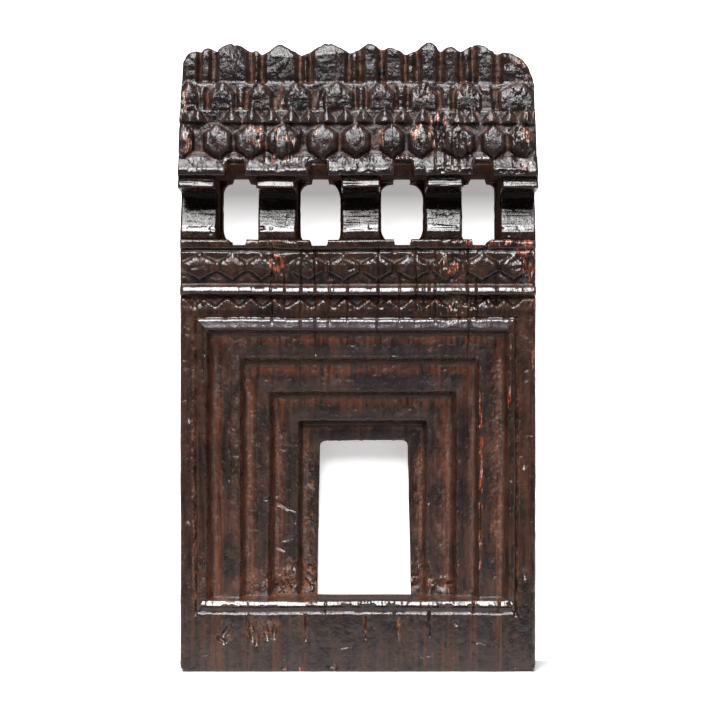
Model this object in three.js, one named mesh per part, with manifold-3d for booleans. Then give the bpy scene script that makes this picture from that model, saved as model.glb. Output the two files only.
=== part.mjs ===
// A carved hardwood headrest panel, worked as the front of a small shrine, standing on its base.
// Millimetres, +Z up, the carved face towards -Y, the origin on the ground under the panel's middle.
// Each carved member is one solid, and neighbours meet face to face: a base, a sill and a doorway in
// four stepped hollow frames, a band of teeth, a roll, a band of lozenges, an arcade of five piers,
// a cornice and a crown of four courses.
import * as THREE from "three";
import { mergeVertices } from "three/addons/utils/BufferGeometryUtils.js";
import Module from "manifold-3d";

const wasm = await Module();
wasm.setup();

// The panel
const panelWidth = 169;
const panelDepth = 52; // from the back to the face of the cornice
const bodyDepth = 36; // from the back to the face of the base and the border
const baseHeight = 28.5;
const footRadius = 3; // the base's lower corners

// The sill, a floor that falls a little towards the back
const sillHeight = 6;
const sillNose = 1.5; // how far it stands proud of the base
const sillEdge = 2.5; // its worn front edge
const sillFall = 1.7; // from the front edge to the back

// The niche: widths from the panel's edges inwards, left, right and above
const nicheHeight = 134; // from the sill to the band of teeth
const border = { left: 7.4, right: 9.5 };
const moulding = { left: 4.9, right: 3.5, top: 6.2 };
const frames = [
  { left: 16, right: 13.9, top: 13.3 },
  { left: 13.6, right: 10.7, top: 16.2 },
  { left: 13.8, right: 14, top: 14.1 },
  { left: 9.3, right: 7.6, top: 9.7 },
];
const mouldingEdge = 1.2; // how far the moulding's outer edge lies below the border
const mouldingProud = 1.5; // how far its arris stands over the border
const mouldingRound = { share: 0.6, below: 0.4 }; // a point of its rounded face, across and down
const arrisSteps = [4.5, 5, 5, 7]; // from the moulding's arris back to the first frame's, and so on
const hollowRise = 1.6; // from the foot of a frame's wall up to its inner arris
const hollowDip = 0.5; // of the hollow below that foot
const wallShare = 0.24; // of a frame's width taken by its sloping wall

// Bands over the niche
const toothBandHeight = 10;
const toothCount = 14;
const toothFoot = 5; // height of the plain strip under the teeth
const toothHeight = 4.2;
const toothRelief = 1.8;
const rollHeight = 5;
const rollRelief = 3;
const rollGroove = 0.4; // height of the narrow groove above and below the roll
const rollGround = 1; // how far these grooves lie below the border
const lozengeBandHeight = 16.7;
const lozengeCount = 10;
const lozengeGround = 0.4; // how far the band's ground lies below the border
const lozengeGap = 1; // between one lozenge and the next
const lozengeRelief = 2.6;
const lozengeMargin = 1.6; // to the band's edges
const lozengeSide = 0.3; // of its height taken by its upright sides
const lozengeDrawIn = 0.82; // size of a lozenge's face against its foot
const ledgeHeight = 5.2;
const ledgeRelief = 2;

// The arcade: five piers, four bays open right through
const arcadeHeight = 28.9;
const pierWidths = [17.3, 18, 18.3, 17, 16.9];
const bayWidths = [19.7, 21.7, 21.9, 18.2];
const pierPlinth = 3.8; // height of the upright foot of each pier
const pierProud = 0.5; // how far that foot stands over the border
const pierHollow = 2.2; // how sharply the front sinks back above the foot
const pierNeckDepth = 24; // the hollow at its deepest, under the capital
const capitalHeight = 5.3;
const capitalLip = 0.8; // height of the capital's lower edge
const capitalSlope = 2.2; // height of the bevel over that edge
const capitalSetBack = { lip: 1.5, top: 4 }; // behind the face of the cornice
const capitalRise = 1.3; // of its underside, from the neck to the lip
const webDepth = 9; // the thin web that rounds the corners of a bay, at the back
const webCorner = 6; // how far the web reaches into a bay at its corners
const webSide = 1; // and half-way up
const notchWidth = 7.6; // cut into the ledge and the cornice at the middle of each bay
const ledgeNotchDepth = 2.9;
const corniceNotchHeight = 5.7;
const corniceNotchFall = 3.3; // of the notch's top from front to back

// The cornice and the crown
const corniceHeight = 9.7;
const fasciaHeight = 3.7;
const crownInset = 1.5; // at each side of the crown
// Each course of the crown: how far its ground lies behind the cornice's face, the relief of its
// raised blocks, the gap between two of them, and the size of a block's face against its foot.
const hexagonCourse = { height: 15.3, count: 11, setBack: 7.5, relief: 4, gap: 0.9, drawIn: 0.9 };
const hexagonSide = 0.45; // of a hexagon's height taken by its upright sides
const triangleCourse = { height: 7.2, count: 18, setBack: 10, relief: 3.5, gap: 0.8, drawIn: 0.7 };
const lowerMerlons = {
  height: 12.7,
  setBack: 13.5,
  relief: 4,
  gap: 3.2,
  shoulder: 8.6, // height of a merlon's upright sides
  drawIn: 0.93, // width of a merlon's face against its foot
  faceHeight: 0.9, // and its height, so that the two upper facets slope back
  shares: [9, 12, 11.5, 15, 15.5, 12, 12.5, 11.5, 14.5], // widths against each other
};
const upperMerlons = {
  height: 20.8,
  setBack: 19.5,
  relief: 5.5,
  gap: 3.6,
  shoulder: 15.5,
  drawIn: 0.93,
  faceHeight: 0.86,
  shares: [9, 15, 16, 17.5, 8, 9, 9.5, 7.5, 10, 16],
};
const crownBack = 5; // how far the top of the ground falls below the highest merlons

// Joints between the courses, from the ground up
const sillBottom = baseHeight;
const sillTop = sillBottom + sillHeight;
const bandBottom = sillTop + nicheHeight;
const rollBottom = bandBottom + toothBandHeight;
const lozengeBottom = rollBottom + rollHeight;
const ledgeBottom = lozengeBottom + lozengeBandHeight;
const arcadeBottom = ledgeBottom + ledgeHeight;
const corniceBottom = arcadeBottom + arcadeHeight;
const hexagonBottom = corniceBottom + corniceHeight;
const triangleBottom = hexagonBottom + hexagonCourse.height;
const lowerBottom = triangleBottom + triangleCourse.height;
const upperBottom = lowerBottom + lowerMerlons.height;
const panelTop = upperBottom + upperMerlons.height;

const sunk = 1; // how far a raised block is let into its ground
const cutterSpare = 5; // how far a cut runs on past the wood
const leftEdge = -panelWidth / 2;
const rightEdge = panelWidth / 2;

const headrest = new THREE.Group();

// y of a point that lies this far in front of the panel's back
const atDepth = (depth) => panelDepth / 2 - depth;

// A closed outline drawn out in t from 0 to 1, each point then set in its place.
function drawnOut(outline, place) {
  const shape = new THREE.Shape(outline.map(([a, b]) => new THREE.Vector2(a, b)));
  const geometry = new THREE.ExtrudeGeometry(shape, { depth: 1, bevelEnabled: false });
  const position = geometry.getAttribute("position");
  for (let i = 0; i < position.count; i += 1) {
    const [x, y, z] = place(position.getX(i), position.getY(i), position.getZ(i));
    position.setXYZ(i, x, y, z);
  }
  geometry.deleteAttribute("normal");
  geometry.deleteAttribute("uv");
  return mergeVertices(geometry);
}

// A member that lies across the panel: its profile is in depth and height, its ends may be mitred.
function beam(profile, leftEnd, rightEnd) {
  return drawnOut(profile, (depth, height, t) => {
    const left = leftEnd(height);
    const right = rightEnd(height);
    return [right + t * (left - right), atDepth(depth), height];
  });
}

// A member that stands up: its profile is in x and depth, its foot and head may slope.
function post(profile, foot, head) {
  return drawnOut(profile, (x, depth, t) => {
    const top = head(x);
    return [x, atDepth(depth), top + t * (foot(depth) - top)];
  });
}

// A block that faces front: an outline in x and height, which may draw in towards a point as it
// comes forward, to the given shares of its width and its height.
function block(outline, backDepth, frontDepth, drawIn) {
  const { x: midX, z: midZ, across, up } = drawIn ?? { x: 0, z: 0, across: 1, up: 1 };
  return drawnOut(outline, (x, z, t) => [
    x + t * (midX - x) * (1 - across),
    atDepth(backDepth + t * (frontDepth - backDepth)),
    z + t * (midZ - z) * (1 - up),
  ]);
}

function solid(geometry) {
  return new wasm.Manifold(
    new wasm.Mesh({
      numProp: 3,
      vertProperties: geometry.getAttribute("position").array,
      triVerts: new Uint32Array(geometry.index.array),
    }),
  );
}

function joined(geometries) {
  return geometries.map(solid).reduce((whole, piece) => whole.add(piece));
}

function surface(shape) {
  const mesh = shape.getMesh();
  const geometry = new THREE.BufferGeometry();
  geometry.setAttribute("position", new THREE.BufferAttribute(mesh.vertProperties, mesh.numProp));
  geometry.setIndex(new THREE.BufferAttribute(mesh.triVerts, 1));
  return geometry;
}

// Patinated hardwood: nearly black where it is handled, browner in the recesses.
function addMember(name, geometry, colour) {
  const material = new THREE.MeshStandardMaterial({ color: colour, roughness: 0.42, metalness: 0 });
  const mesh = new THREE.Mesh(geometry, material);
  mesh.name = name;
  headrest.add(mesh);
}

const always = (value) => () => value;
const rectangle = (x0, z0, x1, z1) => [
  [x0, z0],
  [x1, z0],
  [x1, z1],
  [x0, z1],
];

// An arc of points about a centre, angles in degrees.
function arc(centreA, centreB, radius, from, to, steps) {
  const points = [];
  for (let i = 0; i <= steps; i += 1) {
    const angle = THREE.MathUtils.degToRad(from + ((to - from) * i) / steps);
    points.push([centreA + radius * Math.cos(angle), centreB + radius * Math.sin(angle)]);
  }
  return points;
}

// Base: a plain block with rounded lower corners.
function addBase() {
  const outline = [
    ...arc(leftEdge + footRadius, footRadius, footRadius, 180, 270, 5),
    ...arc(rightEdge - footRadius, footRadius, footRadius, 270, 360, 5),
    [rightEdge, baseHeight],
    [leftEdge, baseHeight],
  ];
  addMember("base_plinth", block(outline, 0, bodyDepth), 0x3a2a22);
}

// Niche: x of the arrises on each side, their heights over the door and their depths, from the
// outside inwards.
const leftArrises = [leftEdge + border.left + moulding.left];
const rightArrises = [rightEdge - border.right - moulding.right];
const topArrises = [bandBottom - moulding.top];
const arrisDepths = [bodyDepth + mouldingProud];
frames.forEach((frame, i) => {
  arrisDepths.push(arrisDepths[i] - arrisSteps[i]);
  leftArrises.push(leftArrises[i] + frame.left);
  rightArrises.push(rightArrises[i] - frame.right);
  topArrises.push(topArrises[i] - frame.top);
});

const sillFace = bodyDepth + sillNose;
const floorAt = (depth) => sillTop - sillFall * (1 - depth / (sillFace - sillEdge));

function addSill() {
  const profile = [
    [0, sillBottom],
    [sillFace, sillBottom],
    ...arc(sillFace - sillEdge, sillTop - sillEdge, sillEdge, 0, 90, 4),
    [0, floorAt(0)],
  ];
  const sill = beam(profile, always(leftArrises[0]), always(rightArrises[0]));
  addMember("sill", sill, 0x4a372c);
}

function addBorder() {
  const stile = (x0, x1) => block(rectangle(x0, sillBottom, x1, bandBottom), 0, bodyDepth);
  addMember("border_stile_left", stile(leftEdge, leftEdge + border.left), 0x33251f);
  addMember("border_stile_right", stile(rightEdge - border.right, rightEdge), 0x3b2620);
}

// One ring of the niche: two jambs and a lintel that share a profile, mitred on the line between
// the ring's outer and inner corners. The profile runs from the outer edge, at 0, to the inner, at 1.
function addRing(name, outer, inner, profile, foot, colour) {
  const across = (from, to) => (share) => from + share * (to - from);
  const left = across(outer.left, inner.left);
  const right = across(outer.right, inner.right);
  const top = across(outer.top, inner.top);
  const shareOf = (value, from, to) => (value - from) / (to - from);
  const jamb = (x) => [[x(0), 0], ...profile.map(([share, depth]) => [x(share), depth]), [x(1), 0]];
  const headOn = (from, to) => (x) => top(shareOf(x, from, to));
  addMember(
    name + "_jamb_left",
    post(jamb(left), foot, headOn(outer.left, inner.left)),
    colour,
  );
  addMember(
    name + "_jamb_right",
    post(jamb(right), foot, headOn(outer.right, inner.right)),
    colour,
  );
  const lintel = [[0, top(0)], ...profile.map(([share, depth]) => [depth, top(share)]), [0, top(1)]];
  addMember(
    name + "_lintel",
    beam(
      lintel,
      (z) => left(shareOf(z, outer.top, inner.top)),
      (z) => right(shareOf(z, outer.top, inner.top)),
    ),
    colour,
  );
}

function addNiche() {
  const mouldingOuter = {
    left: leftEdge + border.left,
    right: rightEdge - border.right,
    top: bandBottom,
  };
  const corners = leftArrises.map((left, i) => ({
    left,
    right: rightArrises[i],
    top: topArrises[i],
  }));
  const mouldingProfile = [
    [0, bodyDepth - mouldingEdge],
    [mouldingRound.share, arrisDepths[0] - mouldingRound.below],
    [1, arrisDepths[0]],
  ];
  addRing("moulding", mouldingOuter, corners[0], mouldingProfile, always(sillBottom), 0x35282a);
  frames.forEach((frame, i) => {
    const inner = arrisDepths[i + 1];
    const wallFoot = inner - hollowRise;
    const profile = [
      [0, arrisDepths[i]],
      [wallShare, wallFoot],
      [(1 + wallShare) / 2, wallFoot - hollowDip],
      [1, inner],
    ];
    addRing("frame_" + (i + 1), corners[i], corners[i + 1], profile, floorAt, 0x4b2f22);
  });
}

// Band of teeth: a raised strip whose upper edge is a zigzag.
function addToothBand() {
  const ground = beam(
    [
      [0, bandBottom],
      [bodyDepth - toothRelief, bandBottom],
      [bodyDepth - toothRelief, rollBottom],
      [0, rollBottom],
    ],
    always(leftEdge),
    always(rightEdge),
  );
  const pitch = panelWidth / toothCount;
  const valley = bandBottom + toothFoot;
  const zigzag = [
    [leftEdge, bandBottom],
    [rightEdge, bandBottom],
    [rightEdge, valley],
  ];
  for (let i = toothCount - 1; i >= 0; i -= 1) {
    zigzag.push([leftEdge + (i + 0.5) * pitch, valley + toothHeight]);
    zigzag.push([leftEdge + i * pitch, valley]);
  }
  const teeth = block(zigzag, bodyDepth - 2 * toothRelief, bodyDepth);
  addMember("tooth_band", surface(joined([ground, teeth])), 0x3d2d27);
}

function addRoll() {
  const middle = rollBottom + rollHeight / 2;
  const radius = rollHeight / 2 - rollGroove;
  const ground = bodyDepth - rollGround;
  const profile = [
    [0, rollBottom],
    [ground, rollBottom],
    [ground, middle - radius],
    ...arc(bodyDepth + rollRelief - radius, middle, radius, -90, 90, 8),
    [ground, middle + radius],
    [ground, lozengeBottom],
    [0, lozengeBottom],
  ];
  const roll = beam(profile, always(leftEdge), always(rightEdge));
  addMember("roll_moulding", roll, 0x4f3f38);
}

// A six-sided outline, pointed above and below, with upright sides.
function hexagon(x, width, bottom, top, sideShare) {
  const middle = (bottom + top) / 2;
  const side = ((top - bottom) / 2) * sideShare;
  const half = width / 2;
  return [
    [x, bottom],
    [x + half, middle - side],
    [x + half, middle + side],
    [x, top],
    [x - half, middle + side],
    [x - half, middle - side],
  ];
}

function addLozengeBand() {
  const field = rectangle(leftEdge, lozengeBottom, rightEdge, ledgeBottom);
  const ground = bodyDepth - lozengeGround;
  const pieces = [block(field, 0, ground)];
  const pitch = panelWidth / lozengeCount;
  const middle = (lozengeBottom + ledgeBottom) / 2;
  for (let i = 0; i < lozengeCount; i += 1) {
    const x = leftEdge + (i + 0.5) * pitch;
    const outline = hexagon(
      x,
      pitch - lozengeGap,
      lozengeBottom + lozengeMargin,
      ledgeBottom - lozengeMargin,
      lozengeSide,
    );
    const drawIn = { x, z: middle, across: lozengeDrawIn, up: lozengeDrawIn };
    pieces.push(block(outline, ground - sunk, ground + lozengeRelief, drawIn));
  }
  addMember("lozenge_band", surface(joined(pieces)), 0x3b2c26);
}

// Arcade: left and right sides of each pier, and the middle of each bay
const piers = [];
let pierLeft = leftEdge;
const spareShare =
  panelWidth /
  (pierWidths.reduce((sum, width) => sum + width, 0) +
    bayWidths.reduce((sum, width) => sum + width, 0));
pierWidths.forEach((width, i) => {
  const pierRight = pierLeft + width * spareShare;
  piers.push({ left: pierLeft, right: pierRight });
  pierLeft = pierRight + (bayWidths[i] ?? 0) * spareShare;
});
const bayMiddles = piers.slice(1).map((pier, i) => (piers[i].right + pier.left) / 2);

function addLedge() {
  const face = rectangle(leftEdge, ledgeBottom, rightEdge, arcadeBottom);
  const notches = bayMiddles.map((x) =>
    rectangle(
      x - notchWidth / 2,
      arcadeBottom - ledgeNotchDepth,
      x + notchWidth / 2,
      arcadeBottom + cutterSpare,
    ),
  );
  const front = bodyDepth + ledgeRelief;
  const ledge = notches.reduce(
    (whole, notch) => whole.subtract(solid(block(notch, -cutterSpare, front + cutterSpare))),
    solid(block(face, 0, front)),
  );
  addMember("arcade_ledge", surface(ledge), 0x40302a);
}

// A pier: a foot that stands upright, a hollow front that sinks back under a jutting capital, and at
// the back a thin web whose edges curve out to round the corners of the bays beside it.
function addPiers() {
  const plinthTop = arcadeBottom + pierPlinth;
  const capitalBottom = corniceBottom - capitalHeight;
  const hollow = capitalBottom - capitalRise - plinthTop;
  const face = bodyDepth + pierProud;
  const profile = [
    [0, arcadeBottom],
    [face, arcadeBottom],
    [face, plinthTop],
  ];
  const steps = 6;
  for (let i = 1; i <= steps; i += 1) {
    const rise = i / steps;
    profile.push([
      pierNeckDepth + (face - pierNeckDepth) * (1 - rise) ** pierHollow,
      plinthTop + rise * hollow,
    ]);
  }
  profile.push(
    [panelDepth - capitalSetBack.lip, capitalBottom],
    [panelDepth - capitalSetBack.lip, capitalBottom + capitalLip],
    [panelDepth - capitalSetBack.top, capitalBottom + capitalLip + capitalSlope],
    [panelDepth - capitalSetBack.top, corniceBottom],
    [0, corniceBottom],
  );
  piers.forEach((pier, i) => {
    const shaft = beam(profile, always(pier.left), always(pier.right));
    const web = webOutline(pier, i > 0, i < piers.length - 1);
    addMember(
      "pier_" + (i + 1),
      surface(joined([shaft, block(web, 0, webDepth)])),
      0x2e221d,
    );
  });
}

function webOutline(pier, bayOnLeft, bayOnRight) {
  const steps = 5;
  const reach = webCorner - webSide;
  const edge = (side, sign) => {
    const points = [];
    for (const [centre, from, to] of [
      [arcadeBottom + reach, 270, 180],
      [corniceBottom - reach, 180, 90],
    ]) {
      for (const [a, z] of arc(0, centre, reach, from, to, steps)) {
        points.push([side + sign * (webSide + reach + a), z]);
      }
    }
    return points;
  };
  const right = bayOnRight
    ? edge(pier.right, 1)
    : [
        [pier.right, arcadeBottom],
        [pier.right, corniceBottom],
      ];
  const left = bayOnLeft
    ? edge(pier.left, -1)
    : [
        [pier.left, arcadeBottom],
        [pier.left, corniceBottom],
      ];
  return [...right, ...left.reverse()];
}

const groundDepth = (course) => panelDepth - course.setBack;

function addCornice() {
  const fasciaTop = corniceBottom + fasciaHeight;
  const profile = [
    [0, corniceBottom],
    [panelDepth, corniceBottom],
    [panelDepth, fasciaTop],
    [groundDepth(hexagonCourse), hexagonBottom],
    [0, hexagonBottom],
  ];
  const bar = solid(beam(profile, always(leftEdge), always(rightEdge)));
  const notchTop = corniceBottom + corniceNotchHeight;
  const notch = [
    [-cutterSpare, corniceBottom - cutterSpare],
    [panelDepth + cutterSpare, corniceBottom - cutterSpare],
    [panelDepth + cutterSpare, notchTop],
    [panelDepth, notchTop],
    [0, notchTop - corniceNotchFall],
    [-cutterSpare, notchTop - corniceNotchFall],
  ];
  const cornice = bayMiddles.reduce(
    (whole, x) =>
      whole.subtract(
        solid(beam(notch, always(x - notchWidth / 2), always(x + notchWidth / 2))),
      ),
    bar,
  );
  addMember("cornice", surface(cornice), 0x33261f);
}

// Crown: each course has its ground and a row of raised blocks, let a little into the ground.
const crownLeft = leftEdge + crownInset;
const crownRight = rightEdge - crownInset;
const crownWidth = crownRight - crownLeft;

const raised = (course, outline, drawIn) =>
  block(outline, groundDepth(course) - sunk, groundDepth(course) + course.relief, drawIn);

function groundOf(course, bottom, top) {
  return block(rectangle(crownLeft, bottom, crownRight, top), 0, groundDepth(course));
}

function addHexagonCourse() {
  const pieces = [groundOf(hexagonCourse, hexagonBottom, triangleBottom)];
  const pitch = crownWidth / hexagonCourse.count;
  const middle = (hexagonBottom + triangleBottom) / 2;
  for (let i = 0; i < hexagonCourse.count; i += 1) {
    const x = crownLeft + (i + 0.5) * pitch;
    const outline = hexagon(
      x,
      pitch - hexagonCourse.gap,
      hexagonBottom,
      triangleBottom,
      hexagonSide,
    );
    const drawIn = { x, z: middle, across: hexagonCourse.drawIn, up: hexagonCourse.drawIn };
    pieces.push(raised(hexagonCourse, outline, drawIn));
  }
  addMember("hexagon_course", surface(joined(pieces)), 0x3d2e28);
}

function addTriangleCourse() {
  const pieces = [groundOf(triangleCourse, triangleBottom, lowerBottom)];
  const pitch = crownWidth / triangleCourse.count;
  for (let i = 0; i < triangleCourse.count; i += 1) {
    const x = crownLeft + (i + 0.5) * pitch;
    const half = (pitch - triangleCourse.gap) / 2;
    const outline = [
      [x - half, triangleBottom],
      [x + half, triangleBottom],
      [x, lowerBottom],
    ];
    const { drawIn: share } = triangleCourse;
    const drawIn = { x, z: triangleBottom, across: share, up: share };
    pieces.push(raised(triangleCourse, outline, drawIn));
  }
  addMember("triangle_course", surface(joined(pieces)), 0x46352d);
}

// A course of merlons: blocks of their own widths with a gap between, pointed at the top, where
// the two upper facets slope back.
function merlons(course, bottom, top) {
  const pieces = [];
  const total = course.shares.reduce((sum, share) => sum + share, 0);
  const room = crownWidth - course.gap * (course.shares.length - 1);
  let left = crownLeft;
  for (const share of course.shares) {
    const right = left + (room * share) / total;
    const middle = (left + right) / 2;
    const outline = [
      [left, bottom],
      [right, bottom],
      [right, bottom + course.shoulder],
      [middle, top],
      [left, bottom + course.shoulder],
    ];
    const drawIn = { x: middle, z: bottom, across: course.drawIn, up: course.faceHeight };
    pieces.push(raised(course, outline, drawIn));
    left = right + course.gap;
  }
  return pieces;
}

function addLowerMerlons() {
  addMember(
    "lower_merlon_course",
    surface(
      joined([
        groundOf(lowerMerlons, lowerBottom, upperBottom),
        ...merlons(lowerMerlons, lowerBottom, upperBottom),
      ]),
    ),
    0x38291f,
  );
}

function addUpperMerlons() {
  addMember(
    "upper_merlon_course",
    surface(
      joined([
        groundOf(upperMerlons, upperBottom, panelTop - crownBack),
        ...merlons(upperMerlons, upperBottom, panelTop),
      ]),
    ),
    0x3a2c26,
  );
}

addBase();
addSill();
addBorder();
addNiche();
addToothBand();
addRoll();
addLozengeBand();
addLedge();
addPiers();
addCornice();
addHexagonCourse();
addTriangleCourse();
addLowerMerlons();
addUpperMerlons();

export default headrest;
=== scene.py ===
import math

import bpy
import numpy as np
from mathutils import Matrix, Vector


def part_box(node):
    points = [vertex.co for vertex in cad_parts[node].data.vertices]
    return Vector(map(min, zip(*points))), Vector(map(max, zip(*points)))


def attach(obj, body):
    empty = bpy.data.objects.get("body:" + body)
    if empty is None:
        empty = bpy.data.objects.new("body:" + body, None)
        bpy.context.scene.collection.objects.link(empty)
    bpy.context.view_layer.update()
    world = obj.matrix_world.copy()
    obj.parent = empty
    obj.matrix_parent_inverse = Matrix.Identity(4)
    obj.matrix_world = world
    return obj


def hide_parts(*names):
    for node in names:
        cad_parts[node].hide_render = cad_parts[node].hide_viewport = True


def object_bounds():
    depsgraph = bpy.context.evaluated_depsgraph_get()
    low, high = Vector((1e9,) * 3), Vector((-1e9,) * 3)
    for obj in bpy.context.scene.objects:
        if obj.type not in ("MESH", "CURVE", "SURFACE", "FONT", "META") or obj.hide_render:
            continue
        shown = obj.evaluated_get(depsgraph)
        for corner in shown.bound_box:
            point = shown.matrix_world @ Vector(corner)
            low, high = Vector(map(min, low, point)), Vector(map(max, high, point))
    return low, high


# A headrest panel carved from one slab of dark hardwood. Every carved member is a piece of its own.
# Shapes are worked in millimetres: x to the right, depth forward from the flat back, z up.

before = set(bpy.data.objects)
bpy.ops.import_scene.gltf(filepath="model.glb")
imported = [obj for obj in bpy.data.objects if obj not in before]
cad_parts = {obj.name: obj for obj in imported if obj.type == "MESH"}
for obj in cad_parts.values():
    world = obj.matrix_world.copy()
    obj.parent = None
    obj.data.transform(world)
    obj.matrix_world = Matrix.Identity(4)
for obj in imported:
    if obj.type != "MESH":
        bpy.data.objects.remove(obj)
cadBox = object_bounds()


def boxOf(node):
    # lowest and highest corner of a member, in millimetres
    low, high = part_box(node)
    return np.array(low) * 1000, np.array(high) * 1000


panelLow = np.array(cadBox[0]) * 1000
panelHigh = np.array(cadBox[1]) * 1000
backY = panelHigh[1]
panelDepth = backY - panelLow[1]
bodyDepth = backY - boxOf("base_plinth")[0][1]
print("frame read: panel", np.round(panelHigh - panelLow, 1), "mm")

# ---- uneven, repeatable noise

latticeSize = 64
lattice = np.random.default_rng(11).uniform(-1, 1, (latticeSize,) * 3)


def drift(x, y, z, size, shift):
    # Random numbers on a lattice with cells of the given size, blended along each direction
    # by 3t^2 - 2t^3. The result lies between -1 and 1 and depends on place alone.
    parts = []
    for value, cell in zip((x, y, z), size):
        place = value / cell + shift
        whole = np.floor(place)
        t = place - whole
        parts.append((whole.astype(np.int64), t * t * (3 - 2 * t)))
        shift = shift * 1.7 + 3.1
    (i, a), (j, b), (k, c) = parts
    total = 0
    for di in (0, 1):
        for dj in (0, 1):
            for dk in (0, 1):
                weight = (a if di else 1 - a) * (b if dj else 1 - b) * (c if dk else 1 - c)
                total = total + weight * lattice[
                    (i + di) % latticeSize, (j + dj) % latticeSize, (k + dk) % latticeSize
                ]
    return total


def rough(x, y, z, size, shift, octaves):
    # noise on top of itself, each layer half as large and half as strong
    total, strength = 0, 1.0
    for n in range(octaves):
        total = total + strength * drift(x, y, z, [s / 2**n for s in size], shift + 5.3 * n)
        strength /= 2
    return total


def faceDrift(x, z, size, shift):
    # noise over the carved face alone: cells across and up
    return drift(x, x * 0, z, (size[0], 1, size[1]), shift)


def faceRough(x, z, size, shift, octaves):
    return rough(x, x * 0, z, (size[0], 1, size[1]), shift, octaves)


def lineDrift(place, size, shift):
    # noise along one direction
    return drift(place, place * 0, place * 0, (size, 1, 1), shift)


def lineRough(place, size, shift, octaves):
    return rough(place, place * 0, place * 0, (size, 1, 1), shift, octaves)


def clamp(value):
    return np.clip(value, 0, 1)


def between(value, low, high, blur):
    # 1 between two limits, fading over the blur inside them
    return clamp(np.minimum(value - low, high - value) / blur)


def slab(x, left, right, bevel):
    # 1 between two sides, falling to 0 over the bevel outside them
    return clamp(np.minimum(x - left, right - x) / bevel + 1)


def ease(value):
    t = clamp(value)
    return t * t * (3 - 2 * t)


# ---- the carved face as maps of depth over x and z

crispAngle = 60     # degrees: edges that turn more than this are shaded sharp
gridStep = 0.25


def soften(values, radius):
    # Running mean over the radius, twice along each direction, which rounds every arris.
    n = max(1, int(round(radius / gridStep)))
    for axis in (0, 1):
        for _ in range(2):
            pad = [(0, 0), (0, 0)]
            pad[axis] = (n + 1, n)
            total = np.cumsum(np.pad(values, pad, mode="edge"), axis=axis)
            if axis == 0:
                values = (total[2 * n + 1:] - total[: -2 * n - 1]) / (2 * n + 1)
            else:
                values = (total[:, 2 * n + 1:] - total[:, : -2 * n - 1]) / (2 * n + 1)
    return values


# the knife's marks and the grain: height in mm, cells across and up, and a shift of its own
knifeMarks = {
    "panelFacets": [(0.16, (5, 16), 8.2), (0.1, (2.2, 9), 3.9)],
    "panelGrain": [(0.07, (0.7, 11), 6.1)],
    "crownFacets": [(0.22, (4, 4), 8.8), (0.12, (1.8, 2.6), 3.1)],
    "crownStriae": [(0.07, (9, 0.7), 6.6)],
    "crownGrain": [(0.08, (0.6, 7), 1.9)],
    "pierStriae": [(0.16, (11, 0.75), 3.3), (0.08, (5, 0.4), 9.3)],
}


def knifed(kind, x, z, shift=0):
    return sum(high * faceDrift(x, z, size, own + shift) for high, size, own in knifeMarks[kind])


weathering = {
    "chipReach": 0.8,            # how far round an arris the wood can chip, in mm as all of these
    "chipSize": (3.2, 3.2),
    "chipDepth": (0.9, 1.1),     # anywhere, and more where the carving is eroded
    "wearSize": (14, 11),
    "arrisRadius": (0.25, 0.6),  # where least worn and where most worn
    "bluntRadius": 2.2,          # where eroded
    "bluntDepth": 0.5,
    "pitSize": (1.5, 3.0),
    "biteSize": (2.4, 2.4),
    "biteDepth": (0.25, 1.6),    # anywhere, and more where the carving is eroded
    "fleckSize": (1.8, 4.5),     # of dust and fresh wood
}


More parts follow.
